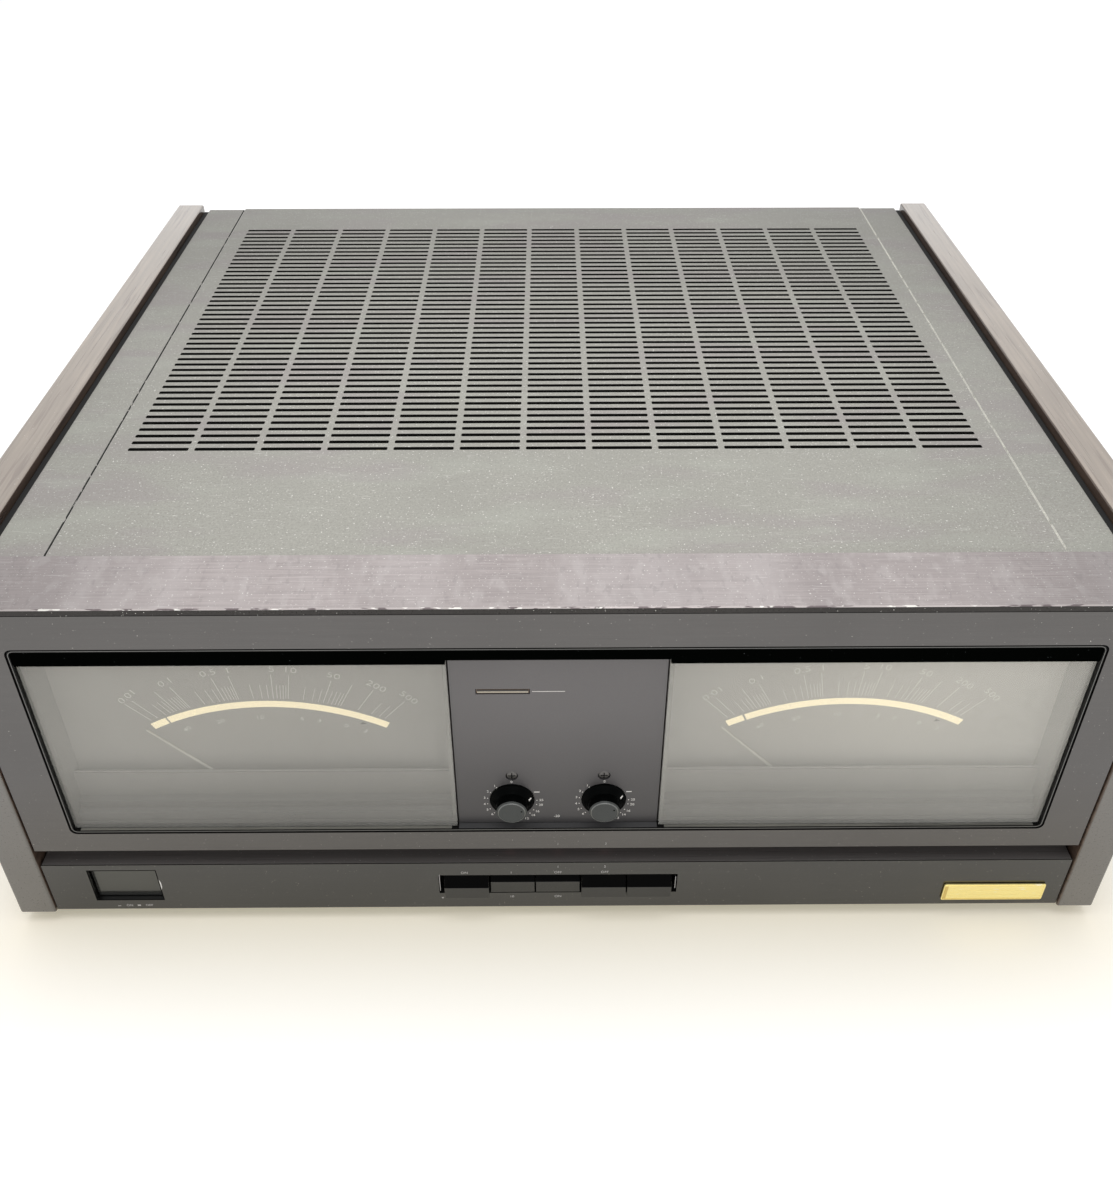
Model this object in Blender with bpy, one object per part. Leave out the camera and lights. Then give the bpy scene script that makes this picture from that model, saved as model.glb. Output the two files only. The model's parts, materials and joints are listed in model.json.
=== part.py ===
"""Stereo power amplifier with two needle meters, modelled as separate pieces.

Metres, +Z up, the front faces -Y. In this file Y counts backwards from the face of the front panel and Z
upwards from the floor. The assembly empty then carries everything to the origin, which lies on the floor
below the middle of the bounding box. X runs from the viewer's left to the right, with 0 in the middle.
"""

import math

import bmesh
import bpy
from mathutils import Matrix, Vector

MM = 0.001

# Fits shared by all pieces
CLEAR = 0.3 * MM  # gap between neighbouring pieces
OVERRUN = 2.0 * MM  # how far a cutter passes the wall that it opens
JOIN = 0.5 * MM  # how deep shapes that form one piece run into each other
WELD = 0.001 * MM  # points of a turned shape closer than this are one

# Overall body and the wood side cheeks
BODY_WIDTH = 507.0 * MM
BODY_HEIGHT = 189.0 * MM
CHEEK_THICK = 16.7 * MM
CHEEK_LENGTH = 442.3 * MM
CHEEK_LEAD = 1.5 * MM  # ahead of the front panel's face
CHEEK_GROUND = 7.0 * MM  # underside above the floor
CHEEK_BEVEL = 1.2 * MM
CHEEK_JOINT = 0.5 * MM  # shadow gap at the ends of the front panels

# Front panels: the lower one, the groove above it, the upper one and the trim on top
PANEL_THICK = 6.0 * MM
FLANGE_DEPTH = 11.2 * MM  # how far the turned-in edges reach behind the face
UPPER_FLANGE_THICK = 1.5 * MM
LEDGE_THICK = 2.0 * MM
LOWER_BOTTOM = 8.2 * MM
LOWER_HEIGHT = 31.4 * MM
GROOVE_HEIGHT = 10.2 * MM
TRIM_THICK = 3.0 * MM
TRIM_DEPTH = 35.4 * MM
TRIM_CHAMFER = 1.4 * MM

# Window in the upper panel, its rim, glass and header strip
WINDOW_SIDE_MARGIN = 19.3 * MM  # in from the upper panel's ends
WINDOW_RISE = 11.4 * MM  # above the upper panel's lower edge
WINDOW_TOP_MARGIN = 16.7 * MM  # below the upper panel's upper edge
WINDOW_RADIUS = 3.0 * MM
RIM_GAP = 0.6 * MM
RIM_WALL = 1.0 * MM
RIM_RECESS = 0.3 * MM
GLASS_RECESS = 2.1 * MM
GLASS_THICK = 2.0 * MM
HEADER_THICK = 1.3 * MM
HEADER_DROP = 7.1 * MM
HEADER_CENTRE_DROP = 4.9 * MM

# Control panel between the meters
CONTROL_WIDTH = 88.4 * MM
CONTROL_RECESS = 3.7 * MM
CONTROL_THICK = 2.0 * MM
CONTROL_JOINT = 0.7 * MM  # between the control panel and the meters
CARRIER_THICK = 1.5 * MM
KNOB_SPACING = 40.4 * MM
KNOB_RISE = 16.8 * MM  # above the window's lower edge
KNOB_HOLE_MARGIN = 1.0 * MM
PLATE_SCREW_RADIUS = 2.8 * MM
PLATE_SCREW_SPACING = 40.0 * MM
PLATE_SCREW_RISE = 15.0 * MM  # above the knobs
STATUS_LENGTH = 22.2 * MM
STATUS_HEIGHT = 2.9 * MM
STATUS_OFFSET = 22.6 * MM  # left of the middle
STATUS_DROP = 28.0 * MM  # lower edge below the window's upper edge
STATUS_RECESS = 0.2 * MM

# Level knobs, their shafts and the rotary controls behind them
SKIRT_RADIUS = 9.0 * MM
SKIRT_EDGE = 0.4 * MM
SKIRT_RISE = 2.1 * MM  # height of the conical part of the skirt
KNOB_ROOT_RADIUS = 6.9 * MM
KNOB_TIP_RADIUS = 6.75 * MM
KNOB_CAP_RADIUS = 6.2 * MM
KNOB_CAP_BEVEL = 0.5 * MM
KNOB_LENGTH = 8.0 * MM  # ahead of the control panel
KNOB_SINK = 1.0 * MM  # behind the control panel's face
KNOB_TOP_WALL = 2.0 * MM
SHAFT_RADIUS = 3.0 * MM
BUSH_RADIUS = 4.6 * MM
BUSH_LENGTH = 2.6 * MM
CONTROL_BODY_RADIUS = 8.5 * MM
CONTROL_BODY_DEPTH = 11.0 * MM
CONTROL_BORE_DEPTH = 8.0 * MM
LEFT_KNOB_TURN = 77.0  # degrees, clockwise from the top
RIGHT_KNOB_TURN = 70.0

# Meters
METER_WALL = 2.0 * MM
PIVOT_SHIFT = 6.0 * MM  # from the meter's middle towards the amplifier's
PIVOT_DROP = 4.7 * MM  # below the window's lower edge
METER_COVER_RISE = 26.8 * MM  # upper edge of the cover in front of the pivot, above the window's lower edge
SCALE_DEPTH = 17.0 * MM
SCALE_THICK = 1.2 * MM
SCALE_HOLE_RADIUS = 2.0 * MM
NEEDLE_LENGTH = 76.0 * MM
NEEDLE_TAIL = 11.0 * MM
NEEDLE_ROOT_WIDTH = 2.4 * MM
NEEDLE_TIP_WIDTH = 0.9 * MM
NEEDLE_THICK = 0.5 * MM
NEEDLE_REST = -44.6  # degrees, clockwise from the top
HUB_RADIUS = 4.0 * MM
HUB_CLEAR = 0.4 * MM
STAFF_RADIUS = 1.1 * MM
MOVEMENT_RADIUS = 14.0 * MM
BEARING_DEPTH = 8.0 * MM

# Smoked strip in the groove with its three lamps
STRIP_RECESS = 9.0 * MM
STRIP_THICK = 1.5 * MM
LAMP_RADIUS = 2.4 * MM
LAMP_PITCH = 21.8 * MM
LAMP_RISE = 4.4 * MM  # above the ledge
LAMP_PROUD = 0.4 * MM
LAMP_DOME = 0.7 * MM
LAMP_LENGTH = 4.4 * MM

# Power button and its switch
POWER_INSET = 35.7 * MM  # in from the lower panel's left end
POWER_WIDTH = 31.6 * MM
POWER_HEIGHT = 21.4 * MM
POWER_RISE = 6.4 * MM  # above the lower panel's lower edge
POWER_MARGIN = 0.4 * MM
POWER_SINK = 2.5 * MM  # face behind the panel's face while it is pushed in
POWER_CAP_DEPTH = 7.5 * MM
POWER_BEVEL = 0.6 * MM
POWER_STEM_SIDE = 8.0 * MM
POWER_STEM_LENGTH = 16.0 * MM
POWER_SWITCH_WIDTH = 26.0 * MM
POWER_SWITCH_HEIGHT = 20.0 * MM
SWITCH_FRONT = 16.0 * MM
SWITCH_BORE_DEPTH = 18.0 * MM

# Row of push buttons and their bank of switches
BUTTON_COUNT = 5
BUTTONS_PUSHED_IN = (2, 3)
BUTTON_PITCH = 21.15 * MM
BUTTON_GAP = 0.6 * MM
SLOT_WIDTH = 110.8 * MM
SLOT_HEIGHT = 12.9 * MM
SLOT_RISE = 10.1 * MM  # above the lower panel's lower edge
BUTTON_FACE_HEIGHT = 7.4 * MM
BUTTON_CHAMFER_DEPTH = 4.0 * MM
BUTTON_DEPTH = 9.0 * MM
BUTTON_TRAVEL = 3.4 * MM
BUTTON_STEM_SIDE = 6.0 * MM
BUTTON_STEM_LENGTH = 17.0 * MM
BANK_WIDTH = 112.0 * MM
BANK_HEIGHT = 21.0 * MM

# Bare name plate
NAME_PLATE_INSET = 32.0 * MM  # in from the lower panel's right end
NAME_PLATE_WIDTH = 47.5 * MM
NAME_PLATE_HEIGHT = 11.0 * MM
NAME_PLATE_RISE = 4.3 * MM  # above the lower panel's lower edge
NAME_PLATE_THICK = 1.0 * MM
NAME_PLATE_BEVEL = 0.3 * MM

# Sheet steel case
REAR_INSET = 2.3 * MM  # cover's rear edge ahead of the cheeks' ends
COVER_DROP = 2.0 * MM  # cover below the trim
COVER_THICK = 1.5 * MM
COVER_SIDE_GAP = 4.3 * MM
COVER_STEP = 0.6 * MM
COVER_STEP_INSET = 24.5 * MM  # in from the cover's side edges
GRILLE_SIDE_MARGIN = 34.3 * MM  # in from the cover's side edges
GRILLE_REAR_MARGIN = 39.7 * MM  # ahead of the cover's rear edge
GRILLE_SETBACK = 84.9 * MM  # behind the trim
GRILLE_COLUMNS = 13
GRILLE_ROWS = 23
GRILLE_RIB = 3.0 * MM
SLOT_OPENING = 2.5 * MM
FRAME_THICK = 2.0 * MM
FRAME_FLANGE = 20.0 * MM
FOOT_HEIGHT = 9.2 * MM
BASE_THICK = 2.0 * MM
BASE_FLANGE_THICK = 1.5 * MM
BASE_FLANGE_HEIGHT = 13.5 * MM
CHASSIS_SETBACK = 44.0 * MM
CHASSIS_THICK = 2.0 * MM
REAR_RECESS = 27.5 * MM  # rear panel ahead of the cover's rear edge
REAR_THICK = 1.5 * MM

# Feet
FOOT_RADIUS = 22.0 * MM
FOOT_TAPER = 1.5 * MM
FOOT_BEVEL = 1.5 * MM
FOOT_INSET = 39.2 * MM  # in from the bottom plate's sides
FOOT_FRONT = 50.0 * MM
FOOT_REAR_MARGIN = 53.5 * MM  # ahead of the cover's rear edge

# Heat sinks and amplifier boards
SINK_FRONT = 130.0 * MM
SINK_REAR_MARGIN = 29.5 * MM  # ahead of the rear panel
SINK_TOP_MARGIN = 20.5 * MM  # below the side frames' flanges
SINK_WIDTH = 72.0 * MM
SINK_BASE = 7.0 * MM
FIN_COUNT = 16
FIN_THICK = 3.0 * MM
BOARD_THICK = 1.6 * MM
BOARD_MARGIN = 12.0 * MM  # board's edges inside the heat sink's
TRANSISTOR_COUNT = 6
TRANSISTOR_WIDTH = 16.0 * MM
TRANSISTOR_HEIGHT = 20.0 * MM
TRANSISTOR_DEPTH = 5.0 * MM
BOARD_CAN_COUNT = 3
BOARD_CAN_RADIUS = 9.0 * MM
BOARD_CAN_LENGTH = 26.0 * MM

# Power supply
TRANSFORMER_RADIUS = 70.0 * MM
TRANSFORMER_HEIGHT = 96.0 * MM
TRANSFORMER_Y = 132.0 * MM
TRANSFORMER_RIM = 4.0 * MM
TRANSFORMER_RIM_THICK = 3.0 * MM
TRANSFORMER_BEVEL = 6.0 * MM
TRANSFORMER_WELL_RADIUS = 16.0 * MM
TRANSFORMER_WELL_DEPTH = 5.0 * MM
RESERVOIR_RADIUS = 36.0 * MM
RESERVOIR_HEIGHT = 118.0 * MM
RESERVOIR_SPACING = 92.0 * MM
RESERVOIR_Y = 290.0 * MM
RESERVOIR_LIP = 2.5 * MM
RESERVOIR_BEVEL = 2.0 * MM

# Connectors on the rear panel
BLOCK_INSET = 82.4 * MM  # in from the rear panel's ends
BLOCK_WIDTH = 84.0 * MM
BLOCK_HEIGHT = 44.0 * MM
BLOCK_THICK = 4.0 * MM
BLOCK_LEVEL = 110.0 * MM
BLOCK_BACK_MARGIN = 10.0 * MM
BLOCK_BACK_DEPTH = 4.0 * MM
POST_COUNT = 4
POST_PITCH = 20.0 * MM
POST_COLLAR_RADIUS = 7.5 * MM
POST_COLLAR_LENGTH = 3.0 * MM
POST_NECK_RADIUS = 3.0 * MM
POST_NECK_LENGTH = 4.0 * MM
POST_CAP_RADIUS = 6.5 * MM
POST_CAP_LENGTH = 13.0 * MM
POST_CAP_BEVEL = 1.5 * MM
JACK_PLATE_WIDTH = 54.0 * MM
JACK_PLATE_HEIGHT = 24.0 * MM
JACK_PLATE_THICK = 2.5 * MM
JACK_LEVEL = 60.0 * MM
JACK_SPACING = 26.0 * MM
JACK_RADIUS = 4.2 * MM
JACK_BORE_RADIUS = 1.7 * MM
JACK_LENGTH = 9.0 * MM
BUSHING_INSET = 32.4 * MM  # in from the rear panel's end
BUSHING_LEVEL = 45.0 * MM
BUSHING_HEAD_RADIUS = 10.0 * MM
BUSHING_HEAD_LENGTH = 6.0 * MM
BUSHING_BEVEL = 1.5 * MM
BUSHING_NECK_RADIUS = 7.0 * MM
BUSHING_NECK_LENGTH = 10.0 * MM
BUSHING_DIMPLE_RADIUS = 3.5 * MM
BUSHING_DIMPLE_DEPTH = 2.0 * MM

# Fineness of round shapes
CORNER_STEPS = 4
FINE_SEGMENTS = 32
PLAIN_SEGMENTS = 22
SMALL_SEGMENTS = 12
SMOOTH_ANGLE = 30.0  # degrees, edges sharper than this stay sharp

# Levels and widths that follow from the sizes above
CHEEK_INNER = BODY_WIDTH / 2 - CHEEK_THICK
PANEL_HALF = CHEEK_INNER - CHEEK_JOINT
LOWER_TOP = LOWER_BOTTOM + LOWER_HEIGHT
UPPER_BOTTOM = LOWER_TOP + GROOVE_HEIGHT
TRIM_BOTTOM = BODY_HEIGHT - TRIM_THICK
UPPER_TOP = TRIM_BOTTOM - CLEAR
WINDOW_HALF = PANEL_HALF - WINDOW_SIDE_MARGIN
WINDOW_BOTTOM = UPPER_BOTTOM + WINDOW_RISE
WINDOW_TOP = UPPER_TOP - WINDOW_TOP_MARGIN
RIM_OUTER = RIM_GAP
RIM_INNER = RIM_GAP + RIM_WALL
PANE_INSET = RIM_INNER + CLEAR  # edges of what stands inside the rim, in from the window's edge
PANE_RADIUS = WINDOW_RADIUS - PANE_INSET
PANE_HALF = WINDOW_HALF - PANE_INSET
PANE_BOTTOM = WINDOW_BOTTOM + PANE_INSET
PANE_TOP = WINDOW_TOP - PANE_INSET
CONTROL_HALF = CONTROL_WIDTH / 2
METER_INNER = CONTROL_HALF + CONTROL_JOINT
PIVOT_OFFSET = (METER_INNER + PANE_HALF) / 2 - PIVOT_SHIFT
GLASS_BACK = GLASS_RECESS + GLASS_THICK
HEADER_BACK = GLASS_RECESS - CLEAR
CONTROL_BACK = CONTROL_RECESS + CONTROL_THICK
CARRIER_FRONT = CONTROL_BACK + CLEAR
CARRIER_BACK = CARRIER_FRONT + CARRIER_THICK
KNOB_LEVEL = WINDOW_BOTTOM + KNOB_RISE
PIVOT_LEVEL = WINDOW_BOTTOM - PIVOT_DROP
METER_FRONT = GLASS_BACK + CLEAR
METER_STEP = FLANGE_DEPTH + CLEAR
METER_BACK = CHASSIS_SETBACK - CLEAR
METER_BOTTOM = LOWER_TOP + CLEAR
SCALE_BACK = SCALE_DEPTH + SCALE_THICK
MOVEMENT_FRONT = SCALE_BACK + CLEAR
POWER_OFFSET = PANEL_HALF - POWER_INSET
NAME_PLATE_OFFSET = PANEL_HALF - NAME_PLATE_INSET
POWER_LEVEL = LOWER_BOTTOM + POWER_RISE + POWER_HEIGHT / 2
SLOT_BOTTOM = LOWER_BOTTOM + SLOT_RISE
SLOT_LEVEL = SLOT_BOTTOM + SLOT_HEIGHT / 2
REAR_REACH = CHEEK_LENGTH - CHEEK_LEAD
CASE_REAR = REAR_REACH - REAR_INSET
COVER_TOP = BODY_HEIGHT - COVER_DROP
COVER_HALF = CHEEK_INNER - COVER_SIDE_GAP
COVER_FRONT = TRIM_DEPTH + CLEAR
COVER_STEP_OFFSET = COVER_HALF - COVER_STEP_INSET
GRILLE_FRONT = TRIM_DEPTH + GRILLE_SETBACK
GRILLE_LENGTH = CASE_REAR - GRILLE_REAR_MARGIN - GRILLE_FRONT
GRILLE_WIDTH = 2 * (COVER_HALF - GRILLE_SIDE_MARGIN)
FRAME_OUTER = CHEEK_INNER - CLEAR
FRAME_INNER = FRAME_OUTER - FRAME_THICK
FRAME_TOP = COVER_TOP - COVER_STEP - COVER_THICK - CLEAR
FRAME_FRONT = FLANGE_DEPTH + CLEAR
BASE_BOTTOM = FOOT_HEIGHT + CLEAR
BASE_TOP = BASE_BOTTOM + BASE_THICK
FLOOR_LEVEL = BASE_TOP + CLEAR  # where pieces stand on the bottom plate
BASE_HALF = FRAME_INNER - CLEAR
INNER_HALF = BASE_HALF - BASE_FLANGE_THICK - CLEAR
CEILING_LEVEL = FRAME_TOP - FRAME_THICK - CLEAR  # below the flanges of the side frames
REAR_FACE = CASE_REAR - REAR_RECESS
FOOT_OFFSET = BASE_HALF - FOOT_INSET
FOOT_REAR = CASE_REAR - FOOT_REAR_MARGIN
SINK_LENGTH = REAR_FACE - REAR_THICK - SINK_REAR_MARGIN - SINK_FRONT
SINK_HEIGHT = CEILING_LEVEL - SINK_TOP_MARGIN - FLOOR_LEVEL
BLOCK_OFFSET = INNER_HALF - BLOCK_INSET
BUSHING_OFFSET = INNER_HALF - BUSHING_INSET
CONNECTOR_FACE = REAR_FACE + CLEAR
FRONT_REACH = KNOB_LENGTH - CONTROL_RECESS
ORIGIN_SHIFT = (FRONT_REACH - REAR_REACH) / 2

SIDES = (("left", -1.0), ("right", 1.0))

# Colour, roughness and metallic value of each finish
FINISHES = {
    "anodised_panel": ((0.14, 0.13, 0.12), 0.35, 0.9),
    "control_plate": ((0.16, 0.15, 0.14), 0.45, 0.8),
    "brushed_aluminium": ((0.46, 0.41, 0.40), 0.3, 1.0),
    "painted_steel": ((0.40, 0.38, 0.34), 0.5, 0.2),
    "plated_steel": ((0.50, 0.49, 0.45), 0.4, 1.0),
    "dark_wood": ((0.05, 0.035, 0.03), 0.12, 0.0),
    "black_plastic": ((0.01, 0.01, 0.01), 0.4, 0.0),
    "smoked_plastic": ((0.03, 0.005, 0.005), 0.1, 0.0),
    "lamp_lens": ((0.10, 0.01, 0.01), 0.2, 0.0),
    "glass": ((0.90, 0.92, 0.92), 0.02, 0.0),
    "scale_face": ((0.25, 0.24, 0.23), 0.6, 0.0),
    "needle_cream": ((0.60, 0.58, 0.50), 0.5, 0.0),
    "knob_grey": ((0.06, 0.07, 0.07), 0.3, 0.6),
    "shaft_steel": ((0.60, 0.60, 0.58), 0.3, 1.0),
    "gold_plate": ((0.80, 0.68, 0.26), 0.3, 1.0),
    "raw_aluminium": ((0.55, 0.55, 0.54), 0.45, 1.0),
    "circuit_board": ((0.05, 0.16, 0.06), 0.5, 0.0),
    "can_sleeve": ((0.02, 0.02, 0.06), 0.35, 0.0),
    "rubber": ((0.02, 0.02, 0.02), 0.8, 0.0),
}


def clear_scene():
    """Removes whatever the scene holds."""
    for old in list(bpy.data.objects):
        bpy.data.objects.remove(old)


def finish(name):
    """Returns the material of this name, made at its first use."""
    made = bpy.data.materials.get(name)
    if made is None:
        colour, roughness, metallic = FINISHES[name]
        made = bpy.data.materials.new(name)
        made.use_nodes = True
        shader = made.node_tree.nodes["Principled BSDF"]
        shader.inputs["Base Color"].default_value = (*colour, 1.0)
        shader.inputs["Roughness"].default_value = roughness
        shader.inputs["Metallic"].default_value = metallic
        made.diffuse_color = (*colour, 1.0)
    return made


def mesh_from(bm):
    """Turns a closed bmesh into a mesh whose faces point outwards."""
    bmesh.ops.recalc_face_normals(bm, faces=bm.faces)
    mesh = bpy.data.meshes.new("shape")
    bm.to_mesh(mesh)
    bm.free()
    mesh.shade_smooth()
    mesh.set_sharp_from_angle(angle=math.radians(SMOOTH_ANGLE))
    return mesh


def rectangle(left, right, bottom, top):
    """Four corners, anticlockwise."""
    return [(left, bottom), (right, bottom), (right, top), (left, top)]


def rounded_corner(x, z, radius, quarter):
    """The quarter circle that rounds the corner at (x, z). Quarter 0 is the top right one of a rectangle."""
    across, up = ((1, 1), (-1, 1), (-1, -1), (1, -1))[quarter]
    angles = (math.pi / 2 * (quarter + step / CORNER_STEPS) for step in range(CORNER_STEPS + 1))
    return [
        (x + radius * (math.cos(angle) - across), z + radius * (math.sin(angle) - up)) for angle in angles
    ]


def rounded_rectangle(left, right, bottom, top, radius):
    """A rectangle whose corners are quarter circles."""
    corners = ((right, top), (left, top), (left, bottom), (right, bottom))
    return [
        point
        for quarter, (x, z) in enumerate(corners)
        for point in rounded_corner(x, z, radius, quarter)
    ]


def circle(x, z, radius, segments=PLAIN_SEGMENTS):
    """A round outline."""
    turns = (math.tau * step / segments for step in range(segments))
    return [(x + radius * math.cos(turn), z + radius * math.sin(turn)) for turn in turns]


def mirrored(outline):
    """The outline and its mirror image across the first coordinate's zero, as one outline."""
    return outline + [(-first, second) for first, second in reversed(outline)]


def extruded(outline, axis, start, end):
    """Sweeps an outline from start to end along an axis.

    The outline holds (y, z) pairs for axis X, (x, z) pairs for Y and (x, y) pairs for Z.
    """
    place = {
        "X": lambda first, second, along: Vector((along, first, second)),
        "Y": lambda first, second, along: Vector((first, along, second)),
        "Z": lambda first, second, along: Vector((first, second, along)),
    }[axis]
    bm = bmesh.new()
    face = bm.faces.new([bm.verts.new(place(first, second, start)) for first, second in outline])
    swept = bmesh.ops.extrude_face_region(bm, geom=[face])["geom"]
    moved = [item for item in swept if isinstance(item, bmesh.types.BMVert)]
    bmesh.ops.translate(bm, verts=moved, vec=place(0.0, 0.0, end - start))
    return mesh_from(bm)


def box(left, right, front, back, bottom, top):
    """A plain block."""
    return extruded(rectangle(left, right, bottom, top), "Y", front, back)


def turned(profile, segments=PLAIN_SEGMENTS, bored=False):
    """Turns (radius, height) points around Z. A bored profile is a ring that never meets the axis."""
    bm = bmesh.new()
    points = [bm.verts.new((radius, 0.0, height)) for radius, height in profile]
    pairs = list(zip(points, points[1:]))
    if bored:
        pairs.append((points[-1], points[0]))
    lines = [bm.edges.new(pair) for pair in pairs]
    bmesh.ops.spin(
        bm,
        geom=points + lines,
        axis=(0, 0, 1),
        cent=(0, 0, 0),
        angle=math.tau,
        steps=segments,
        use_merge=True,
    )
    bmesh.ops.remove_doubles(bm, verts=bm.verts, dist=WELD)
    return mesh_from(bm)


def together(meshes):
    """Several shapes that don't touch, as one mesh."""
    bm = bmesh.new()
    for mesh in meshes:
        bm.from_mesh(mesh)
    return mesh_from(bm)


def piece(name, mesh, finish_name, parent, location=(0.0, 0.0, 0.0), turn=(0.0, 0.0, 0.0)):
    """Adds one named sub-part below its parent. The turn is in degrees."""
    made = bpy.data.objects.new(name, mesh)
    mesh.name = name
    mesh.materials.append(finish(finish_name))
    made.parent = parent
    made.location = location
    made.rotation_euler = [math.radians(angle) for angle in turn]
    bpy.context.scene.collection.objects.link(made)
    return made


def bevelled(made, width, segments=1):
    """Rounds the edges of a piece."""
    bevel = made.modifiers.new("bevel", "BEVEL")
    bevel.width = width
    bevel.segments = segments
    bevel.limit_method = "ANGLE"
    return made


def combined(made, operation, mesh):
    """Cuts a shape from a piece or joins it to it, in the piece's own coordinates."""
    helper = bpy.data.objects.new(f"{made.name}_{operation.lower()}", mesh)
    helper.parent = made
    helper.hide_render = True
    helper.display_type = "WIRE"
    bpy.context.scene.collection.objects.link(helper)
    change = made.modifiers.new(operation.lower(), "BOOLEAN")
    change.operation = operation
    change.solver = "EXACT"
    change.object = helper
    return made


def cut(made, *meshes):
    """Removes shapes from a piece."""
    return combined(made, "DIFFERENCE", together(meshes))


def joined(made, *meshes):
    """Adds shapes to a piece. They don't touch one another."""
    return combined(made, "UNION", together(meshes))


def front_panels(parent):
    """Upper and lower front extrusions with their openings, and the trim strip on top."""
    upper_profile = [
        (0.0, UPPER_BOTTOM),
        (FLANGE_DEPTH, UPPER_BOTTOM),
        (FLANGE_DEPTH, UPPER_BOTTOM + UPPER_FLANGE_THICK),
        (PANEL_THICK, UPPER_BOTTOM + UPPER_FLANGE_THICK),
        (PANEL_THICK, UPPER_TOP),
        (0.0, UPPER_TOP),
    ]
    upper = extruded(upper_profile, "X", -PANEL_HALF, PANEL_HALF)
    upper = piece("front_panel", upper, "anodised_panel", parent)
    window = rounded_rectangle(-WINDOW_HALF, WINDOW_HALF, WINDOW_BOTTOM, WINDOW_TOP, WINDOW_RADIUS)
    cut(upper, extruded(window, "Y", -OVERRUN, PANEL_THICK + OVERRUN))

    lower_profile = [
        (0.0, LOWER_BOTTOM),
        (PANEL_THICK, LOWER_BOTTOM),
        (PANEL_THICK, LOWER_TOP - LEDGE_THICK),
        (FLANGE_DEPTH, LOWER_TOP - LEDGE_THICK),
        (FLANGE_DEPTH, LOWER_TOP),
        (0.0, LOWER_TOP),
    ]
    lower = extruded(lower_profile, "X", -PANEL_HALF, PANEL_HALF)
    lower = piece("lower_panel", lower, "anodised_panel", parent)
    power_opening = box(
        -POWER_OFFSET - POWER_WIDTH / 2,
        -POWER_OFFSET + POWER_WIDTH / 2,
        -OVERRUN,
        PANEL_THICK + OVERRUN,
        POWER_LEVEL - POWER_HEIGHT / 2,
        POWER_LEVEL + POWER_HEIGHT / 2,
    )
    button_slot = box(
        -SLOT_WIDTH / 2,
        SLOT_WIDTH / 2,
        -OVERRUN,
        PANEL_THICK + OVERRUN,
        SLOT_BOTTOM,
        SLOT_BOTTOM + SLOT_HEIGHT,
    )
    cut(lower, power_opening, button_slot)

    trim_profile = [
        (0.0, TRIM_BOTTOM),
        (TRIM_DEPTH, TRIM_BOTTOM),
        (TRIM_DEPTH, BODY_HEIGHT),
        (TRIM_CHAMFER, BODY_HEIGHT),
        (0.0, BODY_HEIGHT - TRIM_CHAMFER),
    ]
    piece("top_trim", extruded(trim_profile, "X", -PANEL_HALF, PANEL_HALF), "brushed_aluminium", parent)


def window_parts(parent):
    """Rim, the two panes and the black header strip along the top of the window."""

    def inset(amount):
        return rounded_rectangle(
            -WINDOW_HALF + amount,
            WINDOW_HALF - amount,
            WINDOW_BOTTOM + amount,
            WINDOW_TOP - amount,
            WINDOW_RADIUS - amount,
        )

    rim = extruded(inset(RIM_OUTER), "Y", RIM_RECESS, GLASS_BACK)
    rim = piece("window_frame", rim, "plated_steel", parent)
    cut(rim, extruded(inset(RIM_INNER), "Y", RIM_RECESS - OVERRUN, GLASS_BACK + OVERRUN))

    outer_corner = rounded_corner(PANE_HALF, PANE_TOP, PANE_RADIUS, 0)
    outline = [
        (METER_INNER, PANE_TOP),
        (METER_INNER, PANE_BOTTOM),
        *rounded_corner(PANE_HALF, PANE_BOTTOM, PANE_RADIUS, 3),
        *outer_corner,
    ]
    for side, sign in SIDES:
        pane = extruded([(sign * x, z) for x, z in outline], "Y", GLASS_RECESS, GLASS_BACK)
        piece(f"meter_glass_{side}", pane, "glass", parent)

    right_half = [
        (METER_INNER, PANE_TOP - HEADER_CENTRE_DROP),
        (METER_INNER, PANE_TOP - HEADER_DROP),
        (PANE_HALF, PANE_TOP - HEADER_DROP),
        *outer_corner,
    ]
    header = extruded(mirrored(right_half), "Y", HEADER_BACK - HEADER_THICK, HEADER_BACK)
    piece("window_header", header, "black_plastic", parent)


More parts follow.
